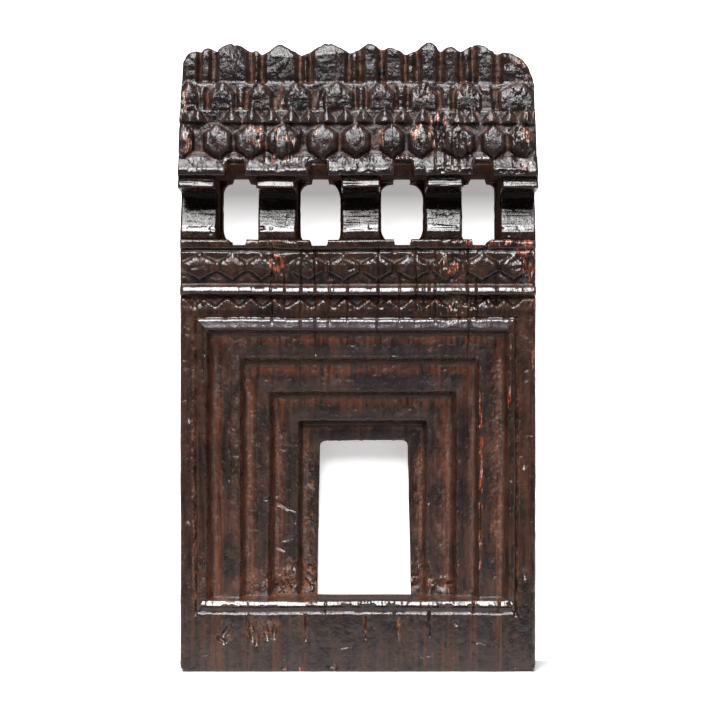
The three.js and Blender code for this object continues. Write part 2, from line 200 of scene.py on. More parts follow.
def makeField(low, high, shape, marks):
    # The sharp carving is chipped at its arrises, rounded more or less by wear, and read for
    # where its arrises are rubbed and painted lighter as a highlight, where hollows take painted shade, where
    # dust lies and where fresh wood shows.
    x = np.arange(low[0], high[0] + gridStep, gridStep)
    z = np.arange(low[1], high[1] + gridStep, gridStep)
    gx, gz = np.meshgrid(x, z)
    sharp = shape(gx, gz)
    arris = clamp((sharp - soften(sharp, weathering["chipReach"])) / 0.5)
    chip = arris * clamp((faceRough(gx, gz, weathering["chipSize"], 1.3, 3) - 0.35) / 0.35)
    erosion = marks["erosion"](gx, gz)
    chipDepth, moreChip = weathering["chipDepth"]
    sharp = sharp - chipDepth * chip - moreChip * chip * erosion
    sound = 1 - clamp(1.6 * erosion)
    # satin marks faces rubbed smooth; the finishes paint them an even grey sheen
    polish, satinSheen = marks["polish"](gx, gz) * sound, marks["satinSheen"](gx, gz) * sound
    wear = clamp(0.45 + 0.75 * faceRough(gx, gz, weathering["wearSize"], 4.4, 2) + erosion)
    wear = wear * (1 - 0.8 * polish)
    least, most = weathering["arrisRadius"]
    depth = soften(sharp, least) * (1 - wear) + soften(sharp, most) * wear
    blunt = soften(sharp, weathering["bluntRadius"])
    depth = depth + (blunt - weathering["bluntDepth"] - depth) * 0.75 * clamp(erosion * 1.2 - 0.2)
    raw, dust = marks["raw"](gx, gz), marks["dust"](gx, gz)
    depth = depth + marks["cuts"](gx, gz)
    smooth = np.maximum(polish, satinSheen)
    pitted = faceRough(gx, gz, weathering["pitSize"], 7.7, 3)
    bitten = clamp(faceRough(gx, gz, weathering["biteSize"], 12.7, 3) - 0.25)
    roughness = (marks["pits"] + 0.5 * erosion + 0.2 * dust) * (1 - 0.85 * smooth)
    biteDepth, moreBite = weathering["biteDepth"]
    depth = depth + pitted * roughness - bitten * (biteDepth + moreBite * erosion) * (1 - 0.8 * smooth)
    # hollows gather dust, and the finishes darken them as painted shade
    hollow = clamp((soften(depth, 2.0) - depth - 0.1) / 0.9)
    flecks = clamp(0.5 + 0.8 * faceRough(gx, gz, weathering["fleckSize"], 9.1, 3))
    return {
        "low": low,
        "size": (len(x), len(z)),
        "depth": depth,
        # rubbed arrises, which the finishes paint lighter: wear and a painted highlight
        "wornAndHighlight": clamp((depth - soften(depth, 0.9) - 0.06) / 0.32),
        "dust": clamp(hollow * flecks * marks["dustiness"] + dust * flecks),
        "raw": clamp(raw * clamp(0.15 + 1.5 * flecks) + 0.8 * clamp(chip * 2) * marks["rawness"]),
        "hollow": hollow,
        "polish": polish,
        "satinSheen": satinSheen,
        "warm": marks["warm"](gx, gz),
    }


def readField(field, name, x, z):
    # between the four nearest points of the map, by their distances
    px = np.clip((x - field["low"][0]) / gridStep, 0, field["size"][0] - 1.001)
    pz = np.clip((z - field["low"][1]) / gridStep, 0, field["size"][1] - 1.001)
    i, k = px.astype(np.int64), pz.astype(np.int64)
    a, c = px - i, pz - k
    values = field[name]
    return (
        values[k, i] * (1 - a) * (1 - c)
        + values[k, i + 1] * a * (1 - c)
        + values[k + 1, i] * (1 - a) * c
        + values[k + 1, i + 1] * a * c
    )


def eroded(places, size, shift):
    # soft patches broken up by noise
    return lambda x, z: spots(x, z, places) * clamp(0.6 + 0.6 * faceRough(x, z, size, shift, 2))


def spots(x, z, places):
    # soft round patches: (x, z, half width, half height, strength)
    total = np.zeros_like(x)
    for cx, cz, wide, tall, strength in places:
        q = ((x - cx) / wide) ** 2 + ((z - cz) / tall) ** 2
        total = np.maximum(total, strength * clamp(1.5 - q))
    return total


def cracks(x, z, lines):
    # Drying cracks: thin grooves that follow the upright grain and wander a little.
    # (x, lower end, upper end, half width, depth)
    total = np.zeros_like(x)
    for cx, foot, head, half, deep in lines:
        path = cx + 0.7 * lineDrift(z, 9, cx) + 0.25 * lineDrift(z, 2, cx)
        ends = clamp((z - foot) / 1.5) * clamp((head - z) / 1.5)
        total = total - deep * ends * np.exp(-(((x - path) / half) ** 2))
    return total


def scoops(x, z, cuts):
    # Dents and gouges: a bowl with a raised lip below. (x, z, half width, half height, turn, depth)
    total = np.zeros_like(x)
    for cx, cz, wide, tall, turn, deep in cuts:
        a, c = x - cx, z - cz + 0.55 * lineDrift(x, 1.7, cz)
        along = a * math.cos(turn) + c * math.sin(turn)
        across = c * math.cos(turn) - a * math.sin(turn)
        q = ((along / wide) ** 2 + (across / tall) ** 2) * (1 + 0.45 * faceDrift(x, z, (1.6, 1.6), cx))
        total = total - deep * np.exp(-(np.maximum(q, 0) ** 1.5))
        total = total + 0.25 * deep * np.exp(-(((q - 1.8) / 0.6) ** 2)) * (across < 0)
    return total


# ---- the niche: rings between nested rectangles

niche = {
    "mouldingEdge": 1.2,   # the moulding's outer edge, behind the border
    "hollowRise": 0.9,     # from the foot of a frame's wall up to its inner arris
    "hollowDip": 0.1,
    "lintelLean": 0.35,    # how much the faces over the door lean forward at their upper edge
    "lipGroove": (0, 0.22, 0.11, 0.044, 0),   # a faint groove just above each one's lower arris
    "doorCorner": 2.8,     # radius of the door's upper corners
    "wallShare": 0.22,     # of a frame's width taken by its sloping wall
    "doorStep": 7,         # from the fourth frame's outer arris back to the door's
    "doorLean": (0.9, -2.2),   # how far the door's two sides lean towards each other
    "incision": (0.55, 1.0),   # the cut line round the moulding, half width and depth
}

ringLeft = [boxOf("moulding_jamb_left")[0][0]]
ringRight = [boxOf("moulding_jamb_right")[1][0]]
ringTop = [boxOf("moulding_lintel")[1][2]]
ringDepth = [bodyDepth - niche["mouldingEdge"]]
for n in range(1, 5):
    ringLeft.append(boxOf("frame_%d_jamb_left" % n)[0][0])
    ringRight.append(boxOf("frame_%d_jamb_right" % n)[1][0])
    ringTop.append(boxOf("frame_%d_lintel" % n)[1][2])
    ringDepth.append(backY - boxOf("frame_%d_lintel" % n)[0][1])
ringLeft.append(boxOf("frame_4_jamb_left")[1][0])
ringRight.append(boxOf("frame_4_jamb_right")[0][0])
ringTop.append(boxOf("frame_4_lintel")[0][2])
ringDepth.append(ringDepth[4] - niche["doorStep"])

sillFace = backY - boxOf("sill")[0][1]
sillFall = 1.7   # of the floor, from the sill's front edge to the back
sillTop = boxOf("sill")[1][2]
sillBottom, bandBottom, rollBottom, lozengeBottom, ledgeBottom, arcadeBottom, corniceBottom = (
    boxOf(node)[0][2]
    for node in ("sill", "tooth_band", "roll_moulding", "lozenge_band", "arcade_ledge", "pier_1", "cornice")
)
hexagonBottom, triangleBottom, lowerBottom, upperBottom = (
    boxOf(node)[0][2]
    for node in ("hexagon_course", "triangle_course", "lower_merlon_course", "upper_merlon_course")
)
panelTop = panelHigh[2]
half = panelHigh[0]


def doorSide(side, z):
    # the door's side at this height: it leans in as it rises
    base = ringLeft[5] if side == 0 else ringRight[5]
    lean = niche["doorLean"][side]
    return base + lean * ((z - sillTop) / (ringTop[5] - sillTop) - 0.35)


def ringShare(x, z):
    # How many rings in from the border a point lies, with the part of the ring that it is in:
    # in each ring, the smallest of its shares from the left, from the right and from above.
    total = np.zeros_like(x)
    for n in range(5):
        innerLeft, innerRight = ringLeft[n + 1], ringRight[n + 1]
        if n == 4:
            innerLeft, innerRight = doorSide(0, z), doorSide(1, z)
        left = (x - ringLeft[n]) / (innerLeft - ringLeft[n])
        right = (ringRight[n] - x) / (ringRight[n] - innerRight)
        top = (ringTop[n] - z) / (ringTop[n] - ringTop[n + 1])
        total = total + clamp(np.minimum(np.minimum(left, right), top))
    return total


def ringProfile():
    # share and depth: a rounded moulding, then in every frame a steep wall and a rising hollow
    share = [0, 0.04, 0.11, 0.5, 0.93]
    depth = [ringDepth[0]] + [ringDepth[1] - fall for fall in (1.25, 0.6, 0.4, 0)]
    for n in range(1, 5):
        foot = ringDepth[n + 1] - niche["hollowRise"]
        wall = niche["wallShare"]
        share += [n, n + wall * 0.75, n + wall, n + 0.6, n + 0.9]
        depth += [ringDepth[n] - 0.1, foot + 0.4, foot - 0.4, foot - niche["hollowDip"]]
        depth.append(ringDepth[n + 1] - 0.15)
    share += [5, 5.0001]
    depth += [ringDepth[5], ringDepth[5] - 2.5]
    return share, depth


profileShare, profileDepth = ringProfile()


def overDoor(x, z, sharpness=6):
    # 1 where a ring runs over the doorway, fading to 0 below the mitres, where it stands beside it
    top = (ringTop[0] - z) / (ringTop[0] - ringTop[5])
    left = (x - ringLeft[0]) / (ringLeft[5] - ringLeft[0])
    right = (ringRight[0] - x) / (ringRight[0] - ringRight[5])
    return clamp(1 + (np.minimum(left, right) - top) * sharpness)


def nicheDepth(x, z, share):
    # over the doorway the hollows are filled until they face down a little
    depth = np.interp(share, profileShare, profileDepth)
    ring = np.clip(np.floor(share), 0, 4).astype(np.int64)
    part = share - ring
    filled = np.array(ringDepth)[ring + 1] - 0.1 + niche["lintelLean"] * (1 - part)
    filled = np.where((ring > 0) & (share < 5), np.maximum(depth, filled), depth)
    lip = np.array(niche["lipGroove"])[ring] * clamp(1 - np.abs(part - 0.9) / 0.06)
    filled = filled - lip
    return depth + (filled - depth) * overDoor(x, z)


# ---- bands over the niche

teeth = {
    "peaks": [-81.5, -73.4, -61.9, -51, -39.8, -27.7, -16.5, -6.4,
              5.4, 15.1, 25.7, 37, 48, 62.3, 69.4, 78.3],
    "foot": 5.0,      # height of the plain strip under the teeth
    "height": 4.2,
    "recess": 2.0,    # how far the ground over them lies back
}
lozenges = {
    # middle and width of each
    "places": [
        (-75, 17.5), (-59.8, 14.5), (-45.8, 14), (-24.2, 16.5), (-6.9, 16.2), (9, 15.5),
        (26.1, 17), (41.8, 14.5), (59.1, 16.5), (74, 13.5),
    ],
    "facet": (-35.8, 9),   # a broken block between the third and the fourth
    "relief": 2.4,
    "low": 1.8,            # from the band's lower edge to the points
    "high": 1.4,
}


# upright profiles: height over the member's lower edge, and how far proud of the body
profiles = {
    "roll": [(0, -1.5), (0.3, 2.3), (0.5, 2.9), (2.3, 3), (4.6, 1.7), (5, -1.0)],
    "ledge": [(-0.5, -0.8), (-0.2, -1), (0.4, -0.2), (0.8, 1.7), (4.6, 2), (5.2, 1.9)],
}


def proud(z, profile):
    return bodyDepth + np.interp(z, [at for at, _ in profile], [out for _, out in profile])


def hexShare(x, z, cx, wide, cz, tall, side):
    # 0 at the middle of a six-sided block, 1 on its outline, which is pointed above and below
    a, c = np.abs(x - cx) / wide, np.abs(z - cz) / tall
    return np.maximum(a, c + (1 - side) * a)


def bandRelief(x, z):
    depth = np.full_like(x, bodyDepth)
    # teeth: the upper edge of a raised strip is a zigzag
    peaks = teeth["peaks"]
    valleys = [(a + b) / 2 for a, b in zip(peaks[:-1], peaks[1:])]
    order = sorted([(p, 1) for p in peaks] + [(v, 0) for v in valleys])
    rise = np.interp(x, [p for p, _ in order], [r for _, r in order])
    edge = bandBottom + teeth["foot"] + teeth["height"] * rise
    over = 0.22 * clamp((z - edge + 1.0) / 1.0) + 0.78 * clamp((z - edge) / 0.35)
    inBand = (z >= bandBottom) & (z < rollBottom)
    strip = bodyDepth + 0.5 * clamp((z - bandBottom - 1.2) / 1.5)
    depth = np.where(inBand, strip - (teeth["recess"] + 0.5) * over, depth)
    # roll: an upright face with a wide bevel over it
    inRoll = (z >= rollBottom) & (z < lozengeBottom)
    depth = np.where(inRoll, proud(z - rollBottom, profiles["roll"]), depth)
    # lozenges
    low, high = lozengeBottom + lozenges["low"], ledgeBottom - lozenges["high"]
    middle, tall = (low + high) / 2, (high - low) / 2
    ground = bodyDepth - 0.5 + 1.1 * clamp((z - high + 2.5) / 2.5) - 0.5 * clamp((low - z) / 1)
    blocks = np.zeros_like(x)
    for cx, width in lozenges["places"]:
        q = hexShare(x, z, cx, width / 2, middle, tall, 0.3)
        blocks = np.maximum(blocks, 0.6 * clamp((1 - q) / 0.06) + 0.4 * clamp((1 - q) / 0.32))
        lean = 1 - 0.25 * clamp(np.abs(z - middle) / tall - 0.35)
        blocks = blocks * np.where(q < 1, lean, 1)
    cx, width = lozenges["facet"]
    q = np.maximum(np.abs(x - cx) / (width / 2), np.abs(z - middle) / tall)
    broken = clamp((1 - q) / 0.2) * clamp(0.75 - 0.09 * (x - cx)) * 0.8
    blocks = np.maximum(blocks, broken)
    lozenge = ground + lozenges["relief"] * blocks
    depth = np.where((z >= lozengeBottom) & (z < ledgeBottom - 0.5), lozenge, depth)
    # ledge, with a groove under it
    return np.where(z >= ledgeBottom - 0.5, proud(z - ledgeBottom, profiles["ledge"]), depth)


def sillRelief(x, z):
    # an upright riser under a nose that stands proud and is worn round
    nose = sillFace - bodyDepth
    riser = [(0, -1.2), (0.5, -0.6), (2.3, -0.3)]
    return proud(z - sillBottom, riser + [
        (2.6, nose - 0.1), (2.8, nose), (5.9, nose - 1.5), (6, nose - 1.7),
    ])


def panelShape(x, z):
    depth = np.full_like(x, bodyDepth)
    share = ringShare(x, z)
    inside = share > 0
    depth = np.where(inside, nicheDepth(x, z, share), depth)
    across = (x > ringLeft[0] + 2.2) & (x < ringRight[0] - 1.6)
    depth = np.where(across & (z >= sillBottom) & (z < sillTop), sillRelief(x, z), depth)
    depth = np.where(z < sillBottom, bodyDepth, depth)
    depth = np.where(z >= bandBottom, bandRelief(x, z), depth)
    # past the panel's own edges the face drops a little, which rounds them
    outside = (np.abs(x) > half) | (z < 0) | (z > arcadeBottom)
    return depth - 2.5 * outside


panelMarks = {
    # dents in the base, each with its lip
    "scoops": [
        (-62.5, 19.5, 3.4, 1.3, 1.0, 1.8), (-65, 15.5, 2.4, 1.0, -0.6, 1.5),
        (-50.5, 20.5, 1.3, 5.5, 0.1, 1.5), (-48, 17, 1.2, 4.2, -0.2, 1.3),
        (-43.5, 19.5, 1.4, 4.0, 0.15, 1.4), (-39.5, 20, 1.1, 3.4, -0.1, 1.4),
        (-24.8, 23, 0.6, 4.2, 0.05, 0.9), (3.5, 23, 0.6, 4.0, -0.04, 0.9),
        (18.9, 20.5, 0.9, 5.0, 0.08, 1.2), (33.5, 25, 0.6, 4.0, -0.1, 0.8),
        (46.5, 23, 0.9, 0.9, 0, 1.0), (-5.5, 12, 5, 0.9, 0.2, 0.22), (60, 14, 6, 1.1, -0.12, 0.2),
        (-72, 9, 4, 1.2, 0.3, 0.25), (30, 8, 7, 1.3, 0.05, 0.2), (-12, 3, 2.2, 2.4, 1.2, 0.9),
        (-27, 1.5, 1.4, 1.8, 1.4, 0.7), (-35, 2, 1.2, 1.6, 1.0, 0.6), (79, 47, 1.2, 2.4, 0.1, 0.8),
        (-80.5, 121, 1.2, 2.5, 0, 0.6), (-81, 74, 1.4, 3.5, 0.1, 0.5),
        (-76.5, 48.5, 1.6, 1.2, 0.4, 1.0), (78.6, 99, 1.3, 2.2, -0.2, 0.7),
        (-38, 79, 5.5, 1.0, -0.5, 0.9), (-41, 82, 3.5, 0.8, 0.3, 0.7), (-33, 62, 2.6, 0.9, 0.4, 0.7),
        (-37, 57, 2.4, 0.8, -0.3, 0.6),
    ],
    "cracks": [
        (-41, 165, 205, 0.28, 0.9), (-34.5, 168, 190, 0.25, 0.8), (-27, 160, 203, 0.28, 0.9),
        (-20.3, 150, 204, 0.28, 0.9), (-13.5, 165, 200, 0.25, 0.7), (-5, 166, 186, 0.25, 0.7),
        (9.4, 160, 204, 0.28, 0.9), (19.8, 166, 190, 0.25, 0.8), (27.6, 168, 204, 0.28, 0.9),
        (31.2, 170, 188, 0.25, 0.8), (34.2, 168, 186, 0.25, 0.8), (37, 165, 200, 0.25, 0.8),
        (52.5, 148, 205, 0.3, 1.1), (56.5, 166, 190, 0.25, 0.9), (66, 168, 188, 0.25, 0.8),
        (-15, 27, 36, 0.28, 0.8), (55, 27, 37, 0.28, 0.8), (67, 28, 36, 0.28, 0.8),
        (-24.6, 14, 27, 0.35, 0.9), (3.9, 15, 27, 0.35, 0.9), (33.8, 16, 29, 0.35, 0.9),
        (71.9, 90, 140, 0.3, 0.8), (58.5, 60, 135, 0.35, 0.8), (-61, 90, 150, 0.28, 0.5),
        (-66, 40, 120, 0.28, 0.5), (-49, 60, 140, 0.25, 0.4), (30, 40, 110, 0.25, 0.4),
    ],
    "raw": [
        (58.3, 92, 1.0, 52, 0.9), (71.7, 128, 0.8, 9, 0.9), (83.2, 170, 1.6, 34, 0.7),
        (84, 110, 1.0, 40, 0.5), (50.5, 55, 2.5, 14, 0.5), (44, 193, 5, 5, 0.75), (39, 188, 3, 4, 0.6),
        (-38.5, 194, 4, 4.5, 0.9), (51, 204, 6, 2.5, 0.85), (66, 204.5, 9, 2.6, 0.9),
        (79.5, 201, 5, 5, 0.85), (80, 190, 3.5, 8, 0.7), (41, 174, 5, 6, 0.5), (49, 171, 8, 6, 0.55),
        (62, 172, 4, 5, 0.4), (84, 186, 2.5, 8, 0.7), (-16, 33, 2, 1, 0.4), (72, 145, 1.2, 20, 0.5),
        (56.5, 128, 1.8, 30, 0.35), (-63, 172, 6, 3, 0.25), (-20, 176.5, 3, 1.0, 0.8),
        (2, 176.5, 3, 1.0, 0.7), (-45, 176.5, 3, 1.0, 0.6), (20, 176.5, 3, 1, 0.8),
        (-80, 12, 1.5, 9, 0.2), (-12, 2.5, 2, 3, 0.8), (-27, 1, 1.6, 1.8, 0.75),
        (-35, 1, 1.4, 1.6, 0.6), (-77.8, 66, 0.6, 32, 0.35), (76.2, 100, 1.0, 60, 0.35),
    ],
    "dust": [
        (-50, 41, 9, 7, 0.9), (-33, 43, 12, 9, 1.0), (-24, 42, 5, 9, 1.0), (29, 43, 7, 9, 1.0),
        (40, 40, 6, 6, 0.9), (-24, 75, 3.5, 36, 0.6), (28.5, 75, 3, 36, 0.5), (-60, 32.5, 14, 2, 0.8),
        (-62.5, 19.5, 4, 5, 0.9), (-48, 19, 5, 7, 0.9), (-41, 20, 4, 5, 0.9), (-24.8, 21, 1, 6, 0.9),
        (3.5, 22, 1, 6, 0.8), (18.9, 20.5, 1.6, 6, 1.0), (33.5, 24, 1, 5, 0.8),
        (46.5, 23, 1.5, 1.5, 0.8), (-78, 100, 1.0, 66, 0.75), (-78, 50, 1.1, 22, 0.9),
        (75.6, 100, 0.9, 68, 0.6), (-73, 47, 4, 10, 0.5), (0, 176.6, 84, 1.3, 0.7),
        (-40, 204.5, 5, 2, 0.9), (59, 205, 6, 3, 1.0), (-63, 205, 5, 2.6, 0.7), (-56, 100, 5, 60, 0.3),
        (65, 100, 4, 60, 0.3), (-40, 90, 5, 45, 0.28), (40, 90, 5, 45, 0.28),
    ],
    "erosion": [
        (-44, 40, 8, 6, 0.7), (-28, 42, 10, 8, 0.9), (30, 42, 8, 8, 0.9), (42, 40, 5, 5, 0.8),
        (46, 173, 11, 7, 0.9), (43, 192, 8, 9, 0.7), (66, 203, 14, 5, 0.8), (75, 195, 8, 8, 0.5),
        (58.5, 172, 4, 6, 0.5), (82, 186, 4, 8, 0.5), (-77, 176, 4, 4, 0.6), (80, 3, 9, 4, 0.6),
    ],
}


def panelCuts(x, z):
    # knife facets on the flats, the incised line round the moulding, dents and drying cracks
    share = ringShare(x, z)
    wide, deep = niche["incision"]
    toSides = np.minimum(np.abs(x - ringLeft[0]), np.abs(x - ringRight[0]))
    toEdge = np.minimum(toSides, np.abs(z - bandBottom + 0.6))
    inRect = (x > ringLeft[0] - 1) & (x < ringRight[0] + 1) & (z < bandBottom + 0.5) & (z > sillBottom - 2)
    under = np.exp(-(((z - sillBottom + 0.2) / 0.6) ** 2)) * inRect
    line = np.exp(-((toEdge / wide) ** 2)) * inRect
    facets = knifed("panelFacets", x, z) * (0.6 + 0.7 * clamp(share))
    return (
        facets + knifed("panelGrain", x, z) - deep * line - 0.6 * under
        + scoops(x, z, panelMarks["scoops"]) + cracks(x, z, panelMarks["cracks"])
    )


def panelDust(x, z):
    wide, _ = niche["incision"]
    line = np.exp(-(((x - ringLeft[0]) / wide) ** 2)) + 0.7 * np.exp(-(((x - ringRight[0]) / wide) ** 2))
    line = line * (z < bandBottom) * (z > sillBottom - 3)
    return clamp(spots(x, z, panelMarks["dust"]) + line)


# how far each place is taken from bare wood, from 0 to 1; the sheen entries set a painted grey sheen
handling = {
    "mouldingSheen": 0.9, "arrisSheen": 0.3, "rollSheen": 0.6, "mouldingShine": 0.7,
    "warmOutside": 0.5, "warmFace": 0.3, "warmCove": 1.0,
}


def panelSatinSheen(x, z):
    # faces that hands have rubbed smooth and that are painted an even grey sheen: over the niche, the roll's
    # face, the frames' arrises
    share = ringShare(x, z)
    part = share - np.floor(share)
    moulding = handling["mouldingSheen"] * between(share, 0.13, 0.99, 0.05) * overDoor(x, z, 60)
    arrises = handling["arrisSheen"] * clamp((part - 0.5) / 0.3) * (share > 1) * (share < 5)
    arrises = arrises * (0.4 + 0.6 * overDoor(x, z))
    rollFace = handling["rollSheen"] * between(z, rollBottom + 0.5, rollBottom + 2.3, 0.3)
    return np.maximum(np.maximum(moulding, arrises), rollFace)


def panelWarmth(x, z):
    # under and beside every arris of the frames the wood is red-brown
    share = ringShare(x, z)
    part = share - np.floor(share)
    cove = between(part, 0.0, 0.55, 0.2) * (share > 1) * (share < 5)
    face, most = handling["warmFace"], handling["warmCove"]
    return np.where(share > 1, face + (most - face) * cove, handling["warmOutside"])


def panelPolish(x, z):
    # strips that hands have rubbed to a shine: the sill's nose, the roll's bevel, the moulding's outer edge
    # over the niche
    nose = between(z, sillBottom + 2.5, sillTop + 0.4, 0.3)
    nose = nose * between(x, ringLeft[0] + 2, ringRight[0] - 1.4, 0.5)
    bevel = between(z, rollBottom + 2.3, lozengeBottom + 0.1, 0.3)
    moulding = between(ringShare(x, z), 0.01, 0.13, 0.04) * (z > ringTop[1] - 1)
    moulding = moulding * handling["mouldingShine"]
    return np.maximum(np.maximum(nose, bevel), moulding)


panelField = makeField((-half - 3, -3), (half + 3, arcadeBottom + 2), panelShape, {
    "erosion": eroded(panelMarks["erosion"], (7, 7), 2.2),
    "cuts": panelCuts,
    "dust": panelDust,
    "raw": lambda x, z: spots(x, z, panelMarks["raw"]),
    "polish": panelPolish,
    "satinSheen": panelSatinSheen,
    "warm": panelWarmth,
    "dustiness": 0.75, "rawness": 0.4, "pits": 0.07,
})
print("panel map made", panelField["depth"].shape)

# ---- cornice and crown

crown = {
    "hexGround": 7.4,       # how far each ground lies behind the cornice's face
    "hexRelief": 4.4,
    "triangleGround": 9.5,
    "triangleRelief": 4.6,
    "lowerGround": 13.5,
    "lowerRelief": 4.4,
    "upperGround": 19.5,
    "upperRelief": 5.5,
    # blocks of the upper row: left, right, height where the top facet starts, and its slant
    "upperBlocks": [
        (-83, -76.2, 291, 0.3), (-66.6, -52.4, 291.5, -0.75), (-43.8, -29.5, 292.3, 0),
        (-21, -5.8, 293.5, 0.1), (2.8, 9.4, 295.5, 0.2), (13.2, 20.7, 295, 0), (29.5, 37.3, 295, 0),
        (40.8, 47.4, 294.5, 0), (56.6, 64.6, 294, 0.2), (69, 83.2, 289, -0.45),
    ],
    "upperFillets": [(-74, -70.4), (-49.2, -47.1), (-25.7, -23.9), (-2.5, -0.3), (23.4, 26.4), (50.3, 53.3)],
    # the crown's upper outline, from left to right
    "outline": [
        (-83.4, 288), (-82.9, 291.3), (-81.3, 293.6), (-79.1, 294.7), (-75.5, 295.2), (-72.3, 296.7),
        (-70.1, 296.8), (-67.3, 294.6), (-63.8, 297.7), (-60, 298.7), (-56.5, 298), (-53.3, 296.2),
        (-51.4, 294.7), (-48.8, 295.3), (-44.2, 293.4), (-42.4, 294.9), (-37.1, 298.8), (-30, 294.9),
        (-25.5, 293), (-21.3, 295.6), (-14.2, 299.5), (-6, 295.8), (-3, 294.1), (0, 295.8),
        (5.6, 299.4), (8.2, 298.2), (10.9, 295.8), (15.4, 296.7), (19.9, 294.7), (23.2, 293.2),
        (27.2, 295.2), (33.3, 299.3), (35.8, 298.2), (39.5, 295.2), (43.6, 297.3), (49.3, 294.7),
        (54.7, 298.1), (57.6, 298.1), (61.3, 296.8), (65.9, 293.7), (69.9, 294.5), (73.6, 293.8),
        (77.2, 291.9), (80.1, 289), (82.2, 284.4), (83.2, 280.5),
    ],
    # blocks of the lower row: left, right, x of the peak
    "lowerBlocks": [
        (-84, -75.6, -80.4), (-69.4, -58.8, -64.2), (-50.9, -41, -46.3), (-33.6, -22.7, -29.5),
        (-15.7, -2.6, -10), (5.6, 16.8, 10.8), (25, 37, 31), (46.2, 58.1, 52), (67.3, 82.8, 76.9),
    ],
    "lowerFillets": [(-74.7, -72.3, 0), (-56.5, -54, 0), (-39.6, -37, -0.3), (-21.2, -17.6, -0.3),
                     (0.3, 2.7, 0), (18.8, 21.8, 0), (39.8, 43.8, 0), (59.8, 64.6, 0.1)],
    "triangles": [-83, -75.3, -59.3, -49.7, -40.7, -31.4, -23, -14.7, -5.9, 2.8, 12.6, 21.4, 30.6, 37.6,
                  46.9, 53.8, 62.9, 71.7, 79.6],
    # hexagons: left, right, and how far each is turned down or up
    "hexagons": [
        (-86.5, -77.4, 0), (-72.4, -59.5, -0.4), (-57.4, -43.4, 0), (-42.4, -28, -0.5),
        (-23.6, -9.7, -0.2), (-7.6, 5.7, 0.2), (10.6, 21.6, 0), (24.2, 35, 0), (40, 54.6, -1.2),
        (58.4, 69.2, -0.3), (71.6, 82, -0.2),
    ],
}
# what is cut out over and under the middle of each bay
corniceNotch = {"width": 7.9, "height": 5.7, "fall": 3.3}
ledgeNotch = {"width": 7.7, "depth": 2.8}
pierBoxes = [boxOf("pier_%d" % n) for n in range(1, 6)]
bayMiddles = [(a[1][0] + b[0][0]) / 2 for a, b in zip(pierBoxes[:-1], pierBoxes[1:])]


def atBays(x, width, bevel):
    # 1 over the given width at every bay
    return sum(slab(x, cx - width / 2, cx + width / 2, bevel) for cx in bayMiddles)


def outlineAt(x):
    # the mean of three readings rounds the peaks; small chips are taken out of it
    px = [p for p, _ in crown["outline"]]
    pz = [q for _, q in crown["outline"]]
    line = sum(np.interp(x + shift, px, pz) for shift in (-1.1, 0, 1.1)) / 3
    chips = clamp(lineRough(x, 1.9, 5.1, 2) - 0.2)
    return line - 0.9 * chips + 0.15 * lineDrift(x, 1.1, 2.4)


